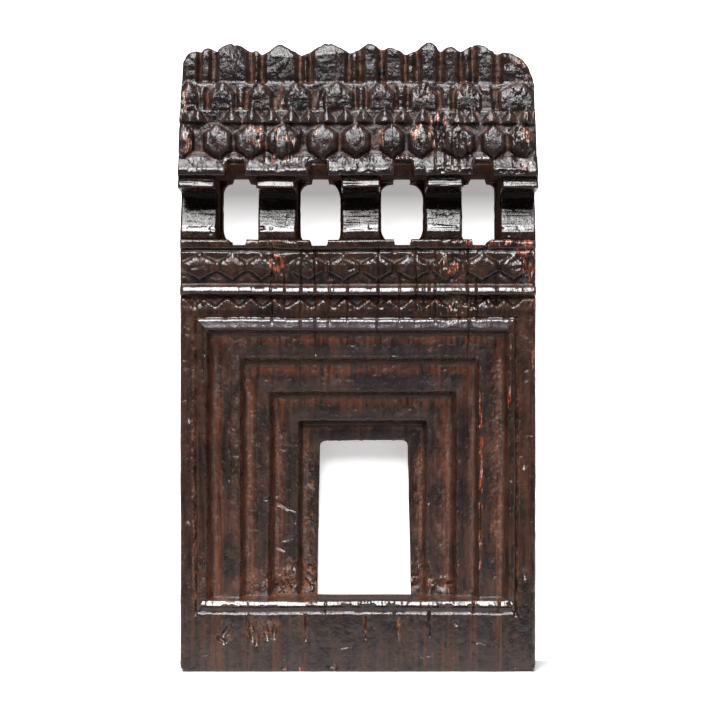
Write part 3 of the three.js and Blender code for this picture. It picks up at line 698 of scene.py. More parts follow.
def crownShape(x, z):
    face = panelDepth
    # cornice: an upright fascia, then a rough slope back to the hexagons
    fascia = corniceBottom + 3.4
    depth = np.interp(z, [corniceBottom, corniceBottom + 0.2, fascia, fascia + 0.6, hexagonBottom + 1.5], [
        face - 0.7, face, face, face - 1.0, face - crown["hexGround"] + 0.2,
    ])
    # hexagons
    low, high = hexagonBottom - 2.0, triangleBottom + 0.6
    middle, tall = (low + high) / 2, (high - low) / 2
    ground = face - crown["hexGround"]
    inHex = (z >= hexagonBottom + 1.5) & (z < triangleBottom)
    depth = np.where(inHex, ground - 0.4, depth)
    for left, right, turn in crown["hexagons"]:
        cx, wide = (left + right) / 2, (right - left) / 2
        q = hexShare(x, z, cx, wide, middle + turn * 0.4, tall, 0.42)
        lift = 0.78 * clamp((1 - q) / 0.07) + 0.22 * clamp((1 - q) / 0.3)
        swell = crown["hexRelief"] * (1 - 0.1 * ((x - cx) / wide) ** 2)
        top = ground + np.maximum(swell - 0.12 * np.maximum(z - middle, 0) ** 1.3, 0.5)
        depth = np.where(q < 1, np.maximum(depth, depth + (top - depth) * lift), depth)
    # triangles: little pyramids whose two upper facets lean back
    ground = face - crown["triangleGround"]
    inTri = (z >= triangleBottom) & (z < lowerBottom)
    triangle = np.full_like(x, ground)
    apexZ, baseZ = lowerBottom + 0.3, triangleBottom + 1.0
    marks = crown["triangles"]
    for n, cx in enumerate(marks):
        gaps = [abs(cx - marks[k]) for k in (n - 1, n + 1) if 0 <= k < len(marks)]
        wide = min(min(gaps) * 0.56, 5.2)
        rise = (z - baseZ) / (apexZ - baseZ)
        q = np.abs(x - cx) / wide + rise
        body = 0.45 * clamp((1 - q) / 0.1) + 0.55 * clamp((1 - q) / 0.9)
        body = body * clamp((z - triangleBottom + 0.2) / 0.4)
        lean = 1 - 0.35 * clamp(rise - 0.3)
        triangle = np.maximum(triangle, ground + crown["triangleRelief"] * body * lean)
    groove = np.exp(-(((z - triangleBottom - 0.5) / 0.4) ** 2))
    triangle = triangle - 0.5 * groove
    depth = np.where(inTri, triangle, depth)
    # lower row of pointed blocks
    ground = face - crown["lowerGround"]
    inLow = (z >= lowerBottom) & (z < upperBottom + 0.4)
    lower = ground - 0.6 + 0.5 * faceDrift(x, z, (4, 30), 5.5)
    for left, right, peak in crown["lowerBlocks"]:
        side = np.where(x < peak, (peak - x) / (peak - left), (x - peak) / (right - peak))
        top = upperBottom + 0.6 - 4.6 * clamp(side) ** 1.2
        lift = slab(x, left, right, 0.7) * (0.5 * clamp((top - z) / 0.5 + 0.3) + 0.5 * clamp((top - z) / 4))
        lower = np.maximum(lower, ground + crown["lowerRelief"] * lift)
    for left, right, slant in crown["lowerFillets"]:
        shift = slant * (z - lowerBottom)
        lift = slab(x + shift, left - slant * 6, right - slant * 6, 0.6) * clamp((upperBottom - 1 - z) / 2)
        lower = np.maximum(lower, ground + 2.6 * lift)
    depth = np.where(inLow, lower, depth)
    # upper row
    ground = face - crown["upperGround"]
    inTop = z >= upperBottom + 0.4
    upper = ground - 0.5 + 0.5 * faceDrift(x, z, (3, 40), 6.5)
    for left, right, start, slant in crown["upperBlocks"]:
        cx = (left + right) / 2
        facet = np.maximum(0, z - (start + slant * (x - cx)))
        body = slab(x, left, right, 0.8)
        shape = crown["upperRelief"] * body - 0.62 * facet * (body > 0)
        swell = 0.5 * (1 - ((x - cx) / (right - left) * 2) ** 2)
        upper = np.maximum(upper, ground + shape + swell * (body > 0.5))
    for left, right in crown["upperFillets"]:
        lift = slab(x, left, right, 0.6)
        upper = np.maximum(upper, ground + 3.4 * lift - 0.5 * np.maximum(0, z - 293) * (lift > 0))
    sink = 0.45 * np.maximum(0, upperBottom + 3.0 - z) * (z > upperBottom)
    depth = np.where(inTop, upper - 0.3 * sink, depth)
    # the cut over each bay
    notchTop = corniceBottom + corniceNotch["height"] + 2.0
    depth = depth - 4.5 * atBays(x, corniceNotch["width"], 0.25) * clamp((notchTop - z) / 0.8)
    outside = (np.abs(x) > half) | (z < corniceBottom) | (z > outlineAt(x))
    return depth - 2.2 * outside


crownMarks = {
    "raw": [
        (-80, 250, 3.5, 6, 0.9), (-78.5, 246, 2, 4, 0.7), (-47, 253, 6, 6, 0.75), (-40, 253, 4, 7, 0.85),
        (-34, 250, 6, 5, 0.7), (-36, 243, 7, 3, 0.75), (-27, 246, 4, 3, 0.5), (-46, 241, 8, 3, 0.5),
        (-20, 256, 3, 3, 0.6), (28, 255, 4, 4, 0.95), (34, 252, 4, 5, 0.85), (37.5, 261, 5, 4, 0.95),
        (32, 274, 5, 3.5, 0.6), (50, 275, 4, 3, 0.6), (42, 238.5, 3, 1.4, 0.9), (49, 239, 4, 1.4, 0.7),
        (79, 240, 3, 3, 0.9), (79, 252, 4, 6, 0.85), (74, 256, 4, 3, 0.7), (81, 262, 3, 8, 0.6),
        (77, 276, 5, 4, 0.45), (-81, 270, 3, 6, 0.75), (10.5, 252, 1.6, 6, 0.7), (23, 250, 1.3, 6, 0.7),
        (56, 268, 3, 5, 0.6), (-44, 262, 1.4, 4, 0.8), (76, 290, 5, 3, 0.5), (-66, 246, 3, 3, 0.3),
        (38.5, 272, 3, 4, 0.4), (-10, 244, 6, 2.5, 0.3),
    ],
    "dust": [
        (-57.3, 238.5, 5, 5, 1), (-18.6, 238.5, 5, 5, 1), (21.5, 238.5, 5, 5, 1),
        (58.5, 238.5, 5, 5, 1), (-50.5, 285, 1.6, 14, 0.9), (-45.8, 285, 1.6, 14, 0.8),
        (-69, 285, 1.8, 14, 0.8), (-75, 286, 1.5, 14, 0.8), (-28, 286, 1.8, 14, 0.9),
        (-22.5, 286, 1.5, 14, 0.8), (-4, 286, 1.6, 14, 0.8), (1.3, 286, 1.6, 14, 0.7),
        (11.3, 286, 1.9, 14, 0.9), (22, 286, 1.3, 14, 0.8), (28, 286, 1.7, 14, 0.8),
        (39.1, 287, 2.1, 15, 1), (48.8, 287, 1.9, 15, 1), (55, 287, 1.9, 15, 1),
        (66.8, 287, 2.6, 15, 1), (77, 289, 6, 3.5, 0.85), (81, 284, 2, 5, 0.8),
        (-57.8, 272, 1.3, 7, 0.8), (-52.4, 272, 1.6, 7, 0.9), (-71, 272, 1.6, 7, 0.7),
        (-36, 272, 2, 7, 0.8), (4, 272, 1.3, 7, 0.8), (23.4, 272, 1.5, 7, 0.9),
        (38.4, 272, 1.5, 7, 0.9), (45, 272, 1.4, 7, 0.9), (59, 273, 2, 7, 1), (65.8, 272, 2, 7, 1),
        (17.8, 272, 1, 7, 0.8), (0, 250, 84, 1.2, 0.3), (62, 262, 3, 3, 0.7),
    ],
    "erosion": [
        (46, 249, 9, 10, 1.0), (37, 255, 6, 7, 0.8), (-36, 250, 12, 8, 0.55), (38, 263, 7, 5, 0.9),
        (50, 263, 5, 4, 0.6), (76, 252, 7, 12, 0.6), (-36, 241, 14, 4, 0.8), (0, 241.5, 90, 3.6, 0.6),
        (31, 275, 8, 4, 0.5), (52, 276, 8, 4, 0.5), (76, 275, 8, 6, 0.4), (-80, 262, 5, 12, 0.35),
        (78, 288, 7, 5, 0.5), (64, 242, 12, 4, 0.6),
    ],
    "cracks": [
        (41, 236, 262, 0.35, 1.2), (44, 238, 258, 0.3, 0.9), (47.5, 236, 256, 0.3, 1.0),
        (51, 237, 254, 0.3, 0.8), (-44.2, 240, 264, 0.35, 1.1), (-39, 244, 262, 0.3, 0.9),
        (-33, 242, 258, 0.3, 0.9), (36.6, 234, 270, 0.3, 0.9), (-27, 238, 262, 0.25, 0.6),
        (71.3, 285, 295, 0.35, 0.8), (-70, 244, 262, 0.25, 0.5), (17, 240, 262, 0.25, 0.4),
        (74, 240, 262, 0.3, 0.8), (79, 244, 266, 0.3, 0.8), (-60, 280, 296, 0.2, 0.4),
        (-10, 279, 297, 0.2, 0.4),
    ],
}


def crownCuts(x, z):
    # knife facets, cross-grain striations on the blocks, and cracks
    striae = knifed("crownStriae", x, z) * clamp((z - triangleBottom) / 4)
    grain = knifed("crownGrain", x, z)
    return knifed("crownFacets", x, z) + striae + grain + cracks(x, z, crownMarks["cracks"])


crownField = makeField((-half - 3, corniceBottom - 2), (half + 3, panelTop + 2), crownShape, {
    "erosion": eroded(crownMarks["erosion"], (5, 6), 2.9),
    "cuts": crownCuts,
    "dust": lambda x, z: 0.75 * spots(x, z, crownMarks["dust"]),
    "raw": lambda x, z: spots(x, z, crownMarks["raw"]),
    "polish": lambda x, z: x * 0,
    "satinSheen": lambda x, z: x * 0,
    "warm": lambda x, z: x * 0 + 0.5,
    "dustiness": 0.95, "rawness": 0.5, "pits": 0.13,
})
print("crown map made", crownField["depth"].shape)

# ---- from arrays to closed meshes

wobble = {
    "sway": (0.42, (34, 30, 42)),     # slow, a hand-cut line, in mm and mm
    "tremble": (0.13, (8, 8, 10)),
    "faceSway": (0.28, (26, 26, 36)),
    "cut": (0.07, (3.5, 3.5, 6)),
}


def bounce(value, low, high):
    # a value past a limit is turned back by as much
    return np.clip(high - np.abs(high - (low + np.abs(value - low))), low, high)


def handMade(x, depth, z):
    # Every point is moved by noise that depends only on its place, so neighbours stay joined.
    sway, size = wobble["sway"]
    tremble, small = wobble["tremble"]
    mx = sway * drift(x, depth, z, size, 1.1) + tremble * drift(x, depth, z, small, 2.3)
    mz = sway * drift(x, depth, z, size, 6.7) + tremble * drift(x, depth, z, small, 7.9)
    slow, large = wobble["faceSway"]
    fine, cell = wobble["cut"]
    md = slow * drift(x, depth, z, large, 4.1) + fine * drift(x, depth, z, cell, 5.9)
    ground = clamp(z / 4)
    return (
        bounce(x + mx, -half, half),
        bounce(depth + md, 0, panelDepth),
        bounce(z + mz * ground, 0, panelTop),
    )


def steps(count):
    # shares from 0 to 1, closer together at both ends
    t = np.linspace(0, 1, count)
    return 0.3 * t + 0.7 * t * t * (3 - 2 * t)


def closedTube(name, x, depth, z, marks, capRings, capMarks, sawnRows):
    # Rows run round the section, columns along the member. Each end is closed by rings that
    # shrink to the middle of the end loop. Sawn rows take the second, unpolished finish.
    rows, cols = x.shape
    count = rows * cols
    points = [np.stack([x, depth, z], axis=-1).transpose(1, 0, 2)]   # cols, rows, 3
    values = {key: [marks[key].T] for key in marks}
    poles = []
    shares = 1 - steps(capRings + 2)[1:-1]
    for end in (0, -1):
        loop = points[0][end]
        centre = (loop.max(axis=0) + loop.min(axis=0)) / 2
        rings = centre + (loop - centre) * shares[:, None, None]
        points.append(rings)
        poles.append(centre)
        for key in marks:
            edge = values[key][0][end]
            flat = np.full((capRings, rows), capMarks[key])
            fade = ((1 - shares) * 6).clip(0, 1)[:, None]
            values[key].append(edge * (1 - fade) + flat * fade)
    place = np.concatenate([p.reshape(-1, 3) for p in points] + [np.array(poles)])
    attributes = {
        key: np.concatenate([v.reshape(-1) for v in values[key]] + [np.full(2, capMarks[key])])
        for key in marks
    }

    around = (np.arange(rows) + 1) % rows

    def band(first, second):
        # the quads between two loops of points
        own = np.arange(rows)
        return np.stack([first + own, first + around, second + around, second + own], axis=-1)

    body = np.concatenate([band(n * rows, (n + 1) * rows) for n in range(cols - 1)])
    quads = [body]
    triangles = []
    for n, (end, turned) in enumerate(((0, True), ((cols - 1) * rows, False))):
        first = end
        for ring in range(capRings):
            second = count + (n * capRings + ring) * rows
            quad = band(first, second)
            quads.append(quad[:, ::-1] if turned else quad)
            first = second
        pole = count + 2 * capRings * rows + n
        fan = np.stack([first + np.arange(rows), first + around, np.full(rows, pole)], axis=-1)
        triangles.append(fan[:, ::-1] if turned else fan)
    quads, triangles = np.concatenate(quads), np.concatenate(triangles)

    px, pd, pz = handMade(place[:, 0], place[:, 1], place[:, 2])
    world = np.stack([px, backY - pd, pz], axis=-1) / 1000
    # signed volume of the body's quads about the middle tells whether the faces point out
    middle = world.mean(axis=0)
    a, b, c = (world[body[:, k]] - middle for k in range(3))
    if np.einsum("ij,ij->i", a, np.cross(b, c)).sum() < 0:
        quads, triangles = quads[:, ::-1], triangles[:, ::-1]

    mesh = bpy.data.meshes.new(name)
    mesh.vertices.add(len(world))
    mesh.vertices.foreach_set("co", world.astype(np.float32).ravel())
    corners = np.concatenate([quads.ravel(), triangles.ravel()])
    mesh.loops.add(len(corners))
    mesh.loops.foreach_set("vertex_index", corners.astype(np.int32))
    begin = np.concatenate([np.arange(len(quads)) * 4, len(quads) * 4 + np.arange(len(triangles)) * 3])
    mesh.polygons.add(len(begin))
    mesh.polygons.foreach_set("loop_start", begin.astype(np.int32))
    mesh.polygons.foreach_set("use_smooth", np.ones(len(begin), dtype=bool))
    sawn = np.zeros(len(begin), dtype=np.int32)
    sawn[: len(body)] = np.tile(sawnRows & np.roll(sawnRows, -1), cols - 1)
    mesh.polygons.foreach_set("material_index", sawn)
    mesh.update(calc_edges=True)
    mesh.validate()
    mesh.set_sharp_from_angle(angle=math.radians(crispAngle))
    for key, value in attributes.items():
        layer = mesh.attributes.new(key, "FLOAT", "POINT")
        layer.data.foreach_set("value", clamp(value).astype(np.float32))
    piece = bpy.data.objects.new(name, mesh)
    bpy.context.scene.collection.objects.link(piece)
    return piece


def finishPiece(piece, node, slotName):
    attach(piece, "root")
    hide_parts(node)
    piece.data.materials.append(timber[slotName])
    piece.data.materials.append(timber["sawn"])


frontStep = 0.42   # spacing of the points on the carved face, mm
plainMarks = {"wornAndHighlight": 0.0, "dust": 0.15, "raw": 0.0, "hollow": 0.0, "polish": 0.0, "warm": 0.5, "satinSheen": 0.0}


def carveMember(node, slotName, field, corners, upright=False, walls=(6, 6), backRows=8, capRings=3,
                edges=None, wallMarks=None, capMarks=None, wallPlace=None, sawnSides=(0,)):
    # A member is a four-sided patch of the carved face, taken straight back to the panel's back.
    # Corners are lower left, lower right, upper right and upper left; a point of the patch lies
    # between them by its shares across and up. The loop runs over the face, back along one wall,
    # over the back and forward along the other wall.
    (ax, az), (bx, bz), (cx, cz), (dx, dz) = corners
    width = max(abs(bx - ax), abs(cx - dx))
    height = max(abs(dz - az), abs(cz - bz))
    nu, nv = max(int(width / frontStep), 4) + 1, max(int(height / frontStep), 4) + 1
    across, up = np.linspace(0, 1, nu), np.linspace(0, 1, nv)
    near, far = walls
    face = up if not upright else across
    back = steps(backRows + 2)[1:-1][::-1]
    section = np.concatenate([face, np.ones(near), back, np.zeros(far)])
    wallShare = np.concatenate([
        np.zeros(len(face)), steps(near + 1)[1:], np.ones(backRows), 1 - steps(far + 1)[:-1],
    ])
    side = np.concatenate([np.zeros(len(face)), np.ones(near), np.zeros(backRows), -np.ones(far)])
    along = across if not upright else up
    a, b = np.meshgrid(section, along, indexing="ij")
    share = np.repeat(wallShare[:, None], len(along), axis=1)
    side = np.repeat(side[:, None], len(along), axis=1)
    u, v = (b, a) if not upright else (a, b)
    x = (ax * (1 - u) + bx * u) * (1 - v) + (dx * (1 - u) + cx * u) * v
    z = (az * (1 - u) + bz * u) * (1 - v) + (dz * (1 - u) + cz * u) * v
    if edges:
        x, z = edges(x, z, u, v)
    front = readField(field, "depth", x, z)
    depth = front * (1 - share)
    marks = {key: readField(field, key, x, z) for key in plainMarks}
    given = dict(plainMarks, **(wallMarks or {}))
    fade = clamp(share * 14)
    for key in marks:
        marks[key] = marks[key] * (1 - fade) + given[key] * fade
    if wallPlace:
        x, depth, z = wallPlace(x, depth, z, share, side)
    # the back, and any wall that was never polished
    sawnRows = ((share[:, 0] > 0) & np.isin(side[:, 0], sawnSides)) | (share[:, 0] >= 1)
    capMarks = dict(given, **(capMarks or {}))
    piece = closedTube(node + "_carved", x, depth, z, marks, capRings, capMarks, sawnRows)
    finishPiece(piece, node, slotName)


# ---- finishes


def linear(code):
    # an sRGB hex colour as the linear values that a shader takes
    channels = [int(code[n:n + 2], 16) / 255 for n in (1, 3, 5)]
    return [c / 12.92 if c <= 0.04045 else ((c + 0.055) / 1.055) ** 2.4 for c in channels] + [1.0]


def put(tree, kind, settings=None, links=None):
    # adds a node, sets its properties or inputs, and links its inputs
    node = tree.nodes.new(kind)
    for key, value in (settings or {}).items():
        if isinstance(key, str) and hasattr(node, key):
            setattr(node, key, value)
        else:
            node.inputs[key].default_value = value
    for key, source in (links or {}).items():
        tree.links.new(source, node.inputs[key])
    return node


finishes = {
    # dense tropical hardwood, oiled and smoked: nearly black, glossy where handled, with a painted grey sheen
    # there
    "handled_wood": {
        "name": "smokedHardwoodHandled", "deep": "#0f0908", "body": "#261913", "warm": "#422416",
        "warmth": 0.8, "gloss": 0.2, "bump": 0.28, "specular": 0.5,
        "raw": "#8f3d1f", "pale": 1.0, "crackle": 0.45,
    },
    # the same timber in the frames: red-brown, drier, with streaks along the grain
    "recess_wood": {
        "name": "smokedHardwoodRecess", "deep": "#110907", "body": "#241813", "warm": "#562c1a",
        "warmth": 1.0, "gloss": 0.27, "bump": 0.3, "specular": 0.5,
        "raw": "#8f3d1f", "pale": 1.0, "crackle": 0.35,
    },
    # the piers and the cornice: black and shiny
    "arcade_wood": {
        "name": "smokedHardwoodArcade", "deep": "#0a0707", "body": "#170e0d", "warm": "#261611",
        "warmth": 0.4, "gloss": 0.18, "bump": 0.25, "specular": 0.5,
        "raw": "#7d3a22", "pale": 0.93, "crackle": 0.35,
    },
    # the crown: black blocks, crackled and chipped
    "crown_wood": {
        "name": "smokedHardwoodCrown", "deep": "#0a0808", "body": "#1e1716", "warm": "#331f19",
        "warmth": 0.4, "gloss": 0.17, "bump": 0.42, "specular": 0.5,
        "raw": "#7d3a22", "pale": 0.93, "crackle": 0.55,
    },
    # sawn and cut faces that were never polished, in the openings and at the back: dry and brown
    "sawn": {
        "name": "sawnHardwoodDry", "deep": "#1a0f09", "body": "#573218", "warm": "#7c4521",
        "warmth": 0.8, "gloss": 0.82, "bump": 0.8, "specular": 0.12,
        "raw": "#7d3a22", "pale": 1.0, "crackle": 0.3,
    },
}
dustColours = ("#2a1710", "#8a4e28")
# the pale tone of fresh wood is partly the fibres' own and partly a painted highlight
rawColours = ("#3d170e", "#d8c3b7")   # torn fibres in shade, and standing up pale
# near black laid into hollows: painted shade
hollowShadeColour = "#080505"
# lighter grey-brown on rubbed arrises: partly wear, partly a painted highlight
rubbedHighlightColour = "#3a2e29"
# even grey on faces rubbed smooth: a painted sheen
paintedSheenColour = "#2f292b"


def makeTimber(look):
    material = bpy.data.materials.new(look["name"])
    material.use_nodes = True
    tree = material.node_tree
    tree.nodes.clear()

    def noise(scale, detail, roughness):
        # cells of 1000 / scale mm along x, y and z
        place = put(tree, "ShaderNodeMapping", {"Scale": scale}, {"Vector": coords})
        return put(tree, "ShaderNodeTexNoise", {"Scale": 1.0, "Detail": detail, "Roughness": roughness},
                   {"Vector": place.outputs[0]}).outputs["Fac"]

    def mixed(share, first, second):
        # a colour given as a hex code or as a socket on either side
        settings = {"data_type": "RGBA"}
        links = {0: share}
        for key, value in ((6, first), (7, second)):
            if isinstance(value, str):
                settings[key] = linear(value)
            else:
                links[key] = value
        return put(tree, "ShaderNodeMix", settings, links).outputs[2]

    def ranged(value, low, high, toLow=0.0, toHigh=1.0):
        return put(tree, "ShaderNodeMapRange", {
            "From Min": low, "From Max": high, "To Min": toLow, "To Max": toHigh,
        }, {"Value": value}).outputs[0]

    def added(first, factor, second):
        # first times factor, plus second
        settings = {"operation": "MULTIPLY_ADD", 1: factor}
        return put(tree, "ShaderNodeMath", settings, {0: first, 2: second}).outputs[0]

    def times(first, second):
        settings = {"operation": "MULTIPLY", "use_clamp": True}
        return put(tree, "ShaderNodeMath", settings, {0: first, 1: second}).outputs[0]

    coords = put(tree, "ShaderNodeTexCoord").outputs["Object"]
    streak = noise((650, 650, 30), 6.0, 0.62)      # growth layers, 1.5 mm across and 33 mm long
    fibre = noise((2400, 2400, 120), 4.0, 0.6)     # pores and fibres
    cloud = noise((70, 70, 55), 6.0, 0.62)         # handling and smoke, 15 mm patches
    blotch = noise((330, 330, 240), 5.0, 0.65)     # 3 mm patches
    speck = noise((1250, 1250, 1000), 3.0, 0.6)    # crackled patina
    splinter = noise((1050, 1050, 130), 5.0, 0.7)  # torn fibres, 1 mm wide and 8 mm long
    wornAndHighlight, dust, raw, hollow, polished, satinSheen, warmed = (
        put(tree, "ShaderNodeAttribute", {"attribute_name": key}).outputs["Fac"]
        for key in ("wornAndHighlight", "dust", "raw", "hollow", "polish", "satinSheen", "warm")
    )
    tone = ranged(added(streak, 1.0, added(blotch, 0.7, cloud)), 1.12, 1.58)
    base = mixed(tone, look["deep"], look["body"])
    patches = ranged(added(warmed, 0.55, cloud), 0.62, 1.06, 0.0, look["warmth"])
    warmth = times(patches, ranged(streak, 0.35, 0.62))
    warm = mixed(warmth, base, look["warm"])
    # rubbed arrises are lightened: partly wear, partly a painted highlight
    arrises = mixed(times(wornAndHighlight, ranged(blotch, 0.4, 0.6, 0.1, 0.5)), warm, rubbedHighlightColour)
    # faces rubbed smooth are painted an even grey as sheen
    rubbedAndSheen = mixed(satinSheen, arrises, paintedSheenColour)
    # hollows are darkened towards near black: painted shade
    shadedHollows = mixed(times(hollow, ranged(blotch, 0.35, 0.6, 0.35, 0.85)), rubbedAndSheen, hollowShadeColour)
    # dust lies in flecks
    dustShare = times(dust, ranged(added(speck, 0.8, blotch), 0.72, 1.08, 0.05, 1.0))
    dusty = mixed(dustShare, shadedHollows, mixed(ranged(speck, 0.46, 0.7), dustColours[0], dustColours[1]))
    # fresh wood shows in streaks along the grain, pale where the fibres stand up; the pale is partly the
    # fibres' own tone and partly a painted highlight
    rawShare = ranged(added(splinter, 1.6, raw), 1.38, 1.75, 0.0, 0.9)
    redTone = mixed(ranged(speck, 0.38, 0.6), rawColours[0], look["raw"])
    paleFibresAndHighlight = ranged(added(splinter, 0.8, fibre), look["pale"], look["pale"] + 0.14)
    rawTone = mixed(paleFibresAndHighlight, redTone, rawColours[1])
    colour = mixed(rawShare, dusty, rawTone)
    # gloss: uneven polish, duller under dust, shinier on rubbed arrises
    polish = ranged(added(blotch, 0.6, cloud), 0.55, 1.05, look["gloss"] - 0.05, look["gloss"] + 0.09)
    dulled = added(dustShare, 0.5, added(hollow, 0.2, polish))
    rubbedGloss = added(wornAndHighlight, -0.1, added(polished, -0.2, dulled))
    gloss = put(tree, "ShaderNodeMath", {"operation": "MAXIMUM", 1: 0.12}, {0: rubbedGloss}).outputs[0]
    # relief: patches, crackle, fibres and half of the streaks
    grain = added(fibre, 0.1, ranged(streak, 0.0, 1.0, 0.0, 0.5))
    relief = added(blotch, 1.3, added(speck, look["crackle"], grain))
    strength = ranged(added(satinSheen, 0.9, polished), 0.0, 1.0, look["bump"], 0.1)
    bump = put(tree, "ShaderNodeBump", {"Distance": 0.001}, {"Strength": strength, "Height": relief})
    shader = put(tree, "ShaderNodeBsdfPrincipled", {"IOR": 1.5, "Specular IOR Level": look["specular"]}, {
        "Base Color": colour, "Roughness": gloss, "Normal": bump.outputs[0],
    })
    put(tree, "ShaderNodeOutputMaterial", None, {"Surface": shader.outputs[0]})
    return material


timber = {slotName: makeTimber(look) for slotName, look in finishes.items()}
print("finishes made")

# ---- base, sill, borders

base = {"cornerRadius": 4.0}


def baseEdges(x, z, u, v):
    # the lower corners are rounded: the foot rises near both ends
    r = base["cornerRadius"]
    inward = clamp((half - np.abs(x)) / r)
    rise = r * (1 - np.sqrt(1 - (1 - inward) ** 2)) * (1 - v)
    return x, z + rise


carveMember("base_plinth", "handled_wood", panelField,
            [(-half, 0), (half, 0), (half, sillBottom), (-half, sillBottom)],
            walls=(6, 26), backRows=12, capRings=22, edges=baseEdges,
            wallMarks={"dust": 0.35}, capMarks={"dust": 0.3, "wornAndHighlight": 0.1})


def sillWall(x, depth, z, share, side):
    # the floor falls towards the back
    onBack = (side == 0) * (share > 0) * ((z - sillBottom) / (sillTop - sillBottom))
    return x, depth, z - sillFall * clamp(share) * (side > 0) - sillFall * onBack


sillEnds = ringLeft[1], ringRight[1]
carveMember("sill", "handled_wood", panelField,
            [(sillEnds[0], sillBottom), (sillEnds[1], sillBottom),
             (sillEnds[1], sillTop), (sillEnds[0], sillTop)],
            walls=(44, 4), backRows=5, capRings=3, wallPlace=sillWall,
            wallMarks={"dust": 0.9}, sawnSides=(0, 1))

for side, left, right in (("left", -half, ringLeft[0]), ("right", ringRight[0], half)):
    outer = (4, 26) if side == "left" else (26, 4)
    carveMember("border_stile_" + side, "handled_wood", panelField,
                [(left, sillBottom), (right, sillBottom), (right, bandBottom), (left, bandBottom)],
                upright=True, walls=outer, backRows=6, wallMarks={"dust": 0.2, "wornAndHighlight": 0.15})
print("base, sill and border made")

# ---- the rings of the niche

doorHead = ringTop[5]


def headCorners(x, z, u, v):
    # the door's upper corners are filled with a quarter round, and the cut is uneven
    r = niche["doorCorner"]
    t = clamp(1 - np.minimum(x - doorSide(0, doorHead), doorSide(1, doorHead) - x) / r)
    drop = r * (1 - np.sqrt(1 - t * t)) + 0.35 * clamp(lineRough(x, 2.2, 8.3, 2))
    return x, z - drop * (1 - v)


def jambFloor(x, z, u, v):
    # the foot of a jamb follows the falling floor of the sill
    return x, z - sillFall * 0.3 * (1 - v)


for n, ringName in enumerate(["moulding"] + ["frame_%d" % n for n in range(1, 5)]):
    slotName = "recess_wood" if n else "handled_wood"
    foot = sillTop if n else sillBottom
    outer, top = (ringLeft[n], ringRight[n]), ringTop[n]
    innerFoot = innerHead = ringLeft[n + 1], ringRight[n + 1]
    innerTop, inWalls = ringTop[n + 1], 4
    if n == 4:
        innerFoot, innerHead = ([doorSide(side, z) for side in (0, 1)] for z in (foot, doorHead))
        inWalls = 24
    same = dict(backRows=4, wallMarks={"dust": 0.55, "raw": 0.0}, sawnSides=(0, 1, -1))
    carveMember(ringName + "_jamb_left", slotName, panelField,
                [(outer[0], foot), (innerFoot[0], foot), (innerHead[0], innerTop), (outer[0], top)],
                upright=True, walls=(inWalls, 3), edges=jambFloor if n else None, **same)
    carveMember(ringName + "_jamb_right", slotName, panelField,
                [(innerFoot[1], foot), (outer[1], foot), (outer[1], top), (innerHead[1], innerTop)],
                upright=True, walls=(3, inWalls), edges=jambFloor if n else None, **same)
    carveMember(ringName + "_lintel", slotName, panelField,
                [(innerHead[0], innerTop), (innerHead[1], innerTop), (outer[1], top), (outer[0], top)],
                walls=(3, inWalls), edges=headCorners if n == 4 else None, **same)
print("niche made")

# ---- bands and ledge

for node, low, high in (
    ("tooth_band", bandBottom, rollBottom),
    ("roll_moulding", rollBottom, lozengeBottom),
    ("lozenge_band", lozengeBottom, ledgeBottom),
):
    carveMember(node, "handled_wood", panelField, [(-half, low), (half, low), (half, high), (-half, high)],
                walls=(3, 3), backRows=6, capRings=14, capMarks={"dust": 0.25, "raw": 0.2})


def ledgeEdges(x, z, u, v):
    # the ledge's top is cut down at the middle of each bay
    return x, z - v * ledgeNotch["depth"] * atBays(x, ledgeNotch["width"], 0.35)


carveMember("arcade_ledge", "handled_wood", panelField,
            [(-half, ledgeBottom), (half, ledgeBottom), (half, arcadeBottom), (-half, arcadeBottom)],
            walls=(36, 4), backRows=5, capRings=14, edges=ledgeEdges,
            wallMarks={"dust": 0.9}, capMarks={"dust": 0.3, "raw": 0.3}, sawnSides=(0, 1))
print("bands and ledge made")

# ---- piers

pier = {
    "plinth": 3.8,          # height of the upright foot
    "proud": 0.5,
    # the hollow front, up from the foot: share of its height and of its depth; a steep worn strip,
    # a long even slope, and a steep rise into the dark under the capital
    "hollow": ((0, 0.15, 0.58, 0.72, 0.86, 1), (0, 0.16, 0.52, 0.86, 1, 0.97)),
    "neckDepth": 30,        # the hollow at its deepest
    "capital": 5.3,
    "lip": 0.9,
    "bevel": 2.2,
    "lipBack": 1.5,         # behind the cornice's face
    "panelBack": 4.0,
    "underRise": 1.3,
    "webDepth": 9,          # of the thin web round the bay, from the back
    "edgeFall": (0.55, 0.8),   # how far the front's upright arrises fall back, and over what width
    "wornTop": 223,         # height where the worn front ends
    # left and right side of each front
    "fronts": [(-84.5, -67.1), (-47.5, -29.5), (-7.9, 10.4), (32.4, 49.5), (67.5, 84.5)],
    # corners of the bays at each pier: left foot, left head, right foot, right head (x and z radii)
    "corners": [
        ((0, 0), (0, 0), (4.9, 6.5), (4.2, 5.5)),
        ((3.4, 5.5), (4.4, 5.0), (2.8, 5.5), (6.0, 5.0)),
        ((3.4, 6.0), (4.4, 10.0), (4.6, 7.5), (6.2, 4.5)),
        ((6.2, 7.0), (6.6, 7.5), (3.4, 6.5), (4.0, 4.2)),
        ((1.2, 1.2), (4.0, 3.0), (0, 0), (0, 0)),
    ],
    "webSide": [(0, 0.9), (0.4, 1.0), (0.6, 0.9), (0.6, 0.6), (0.5, 0)],   # half-way up
}


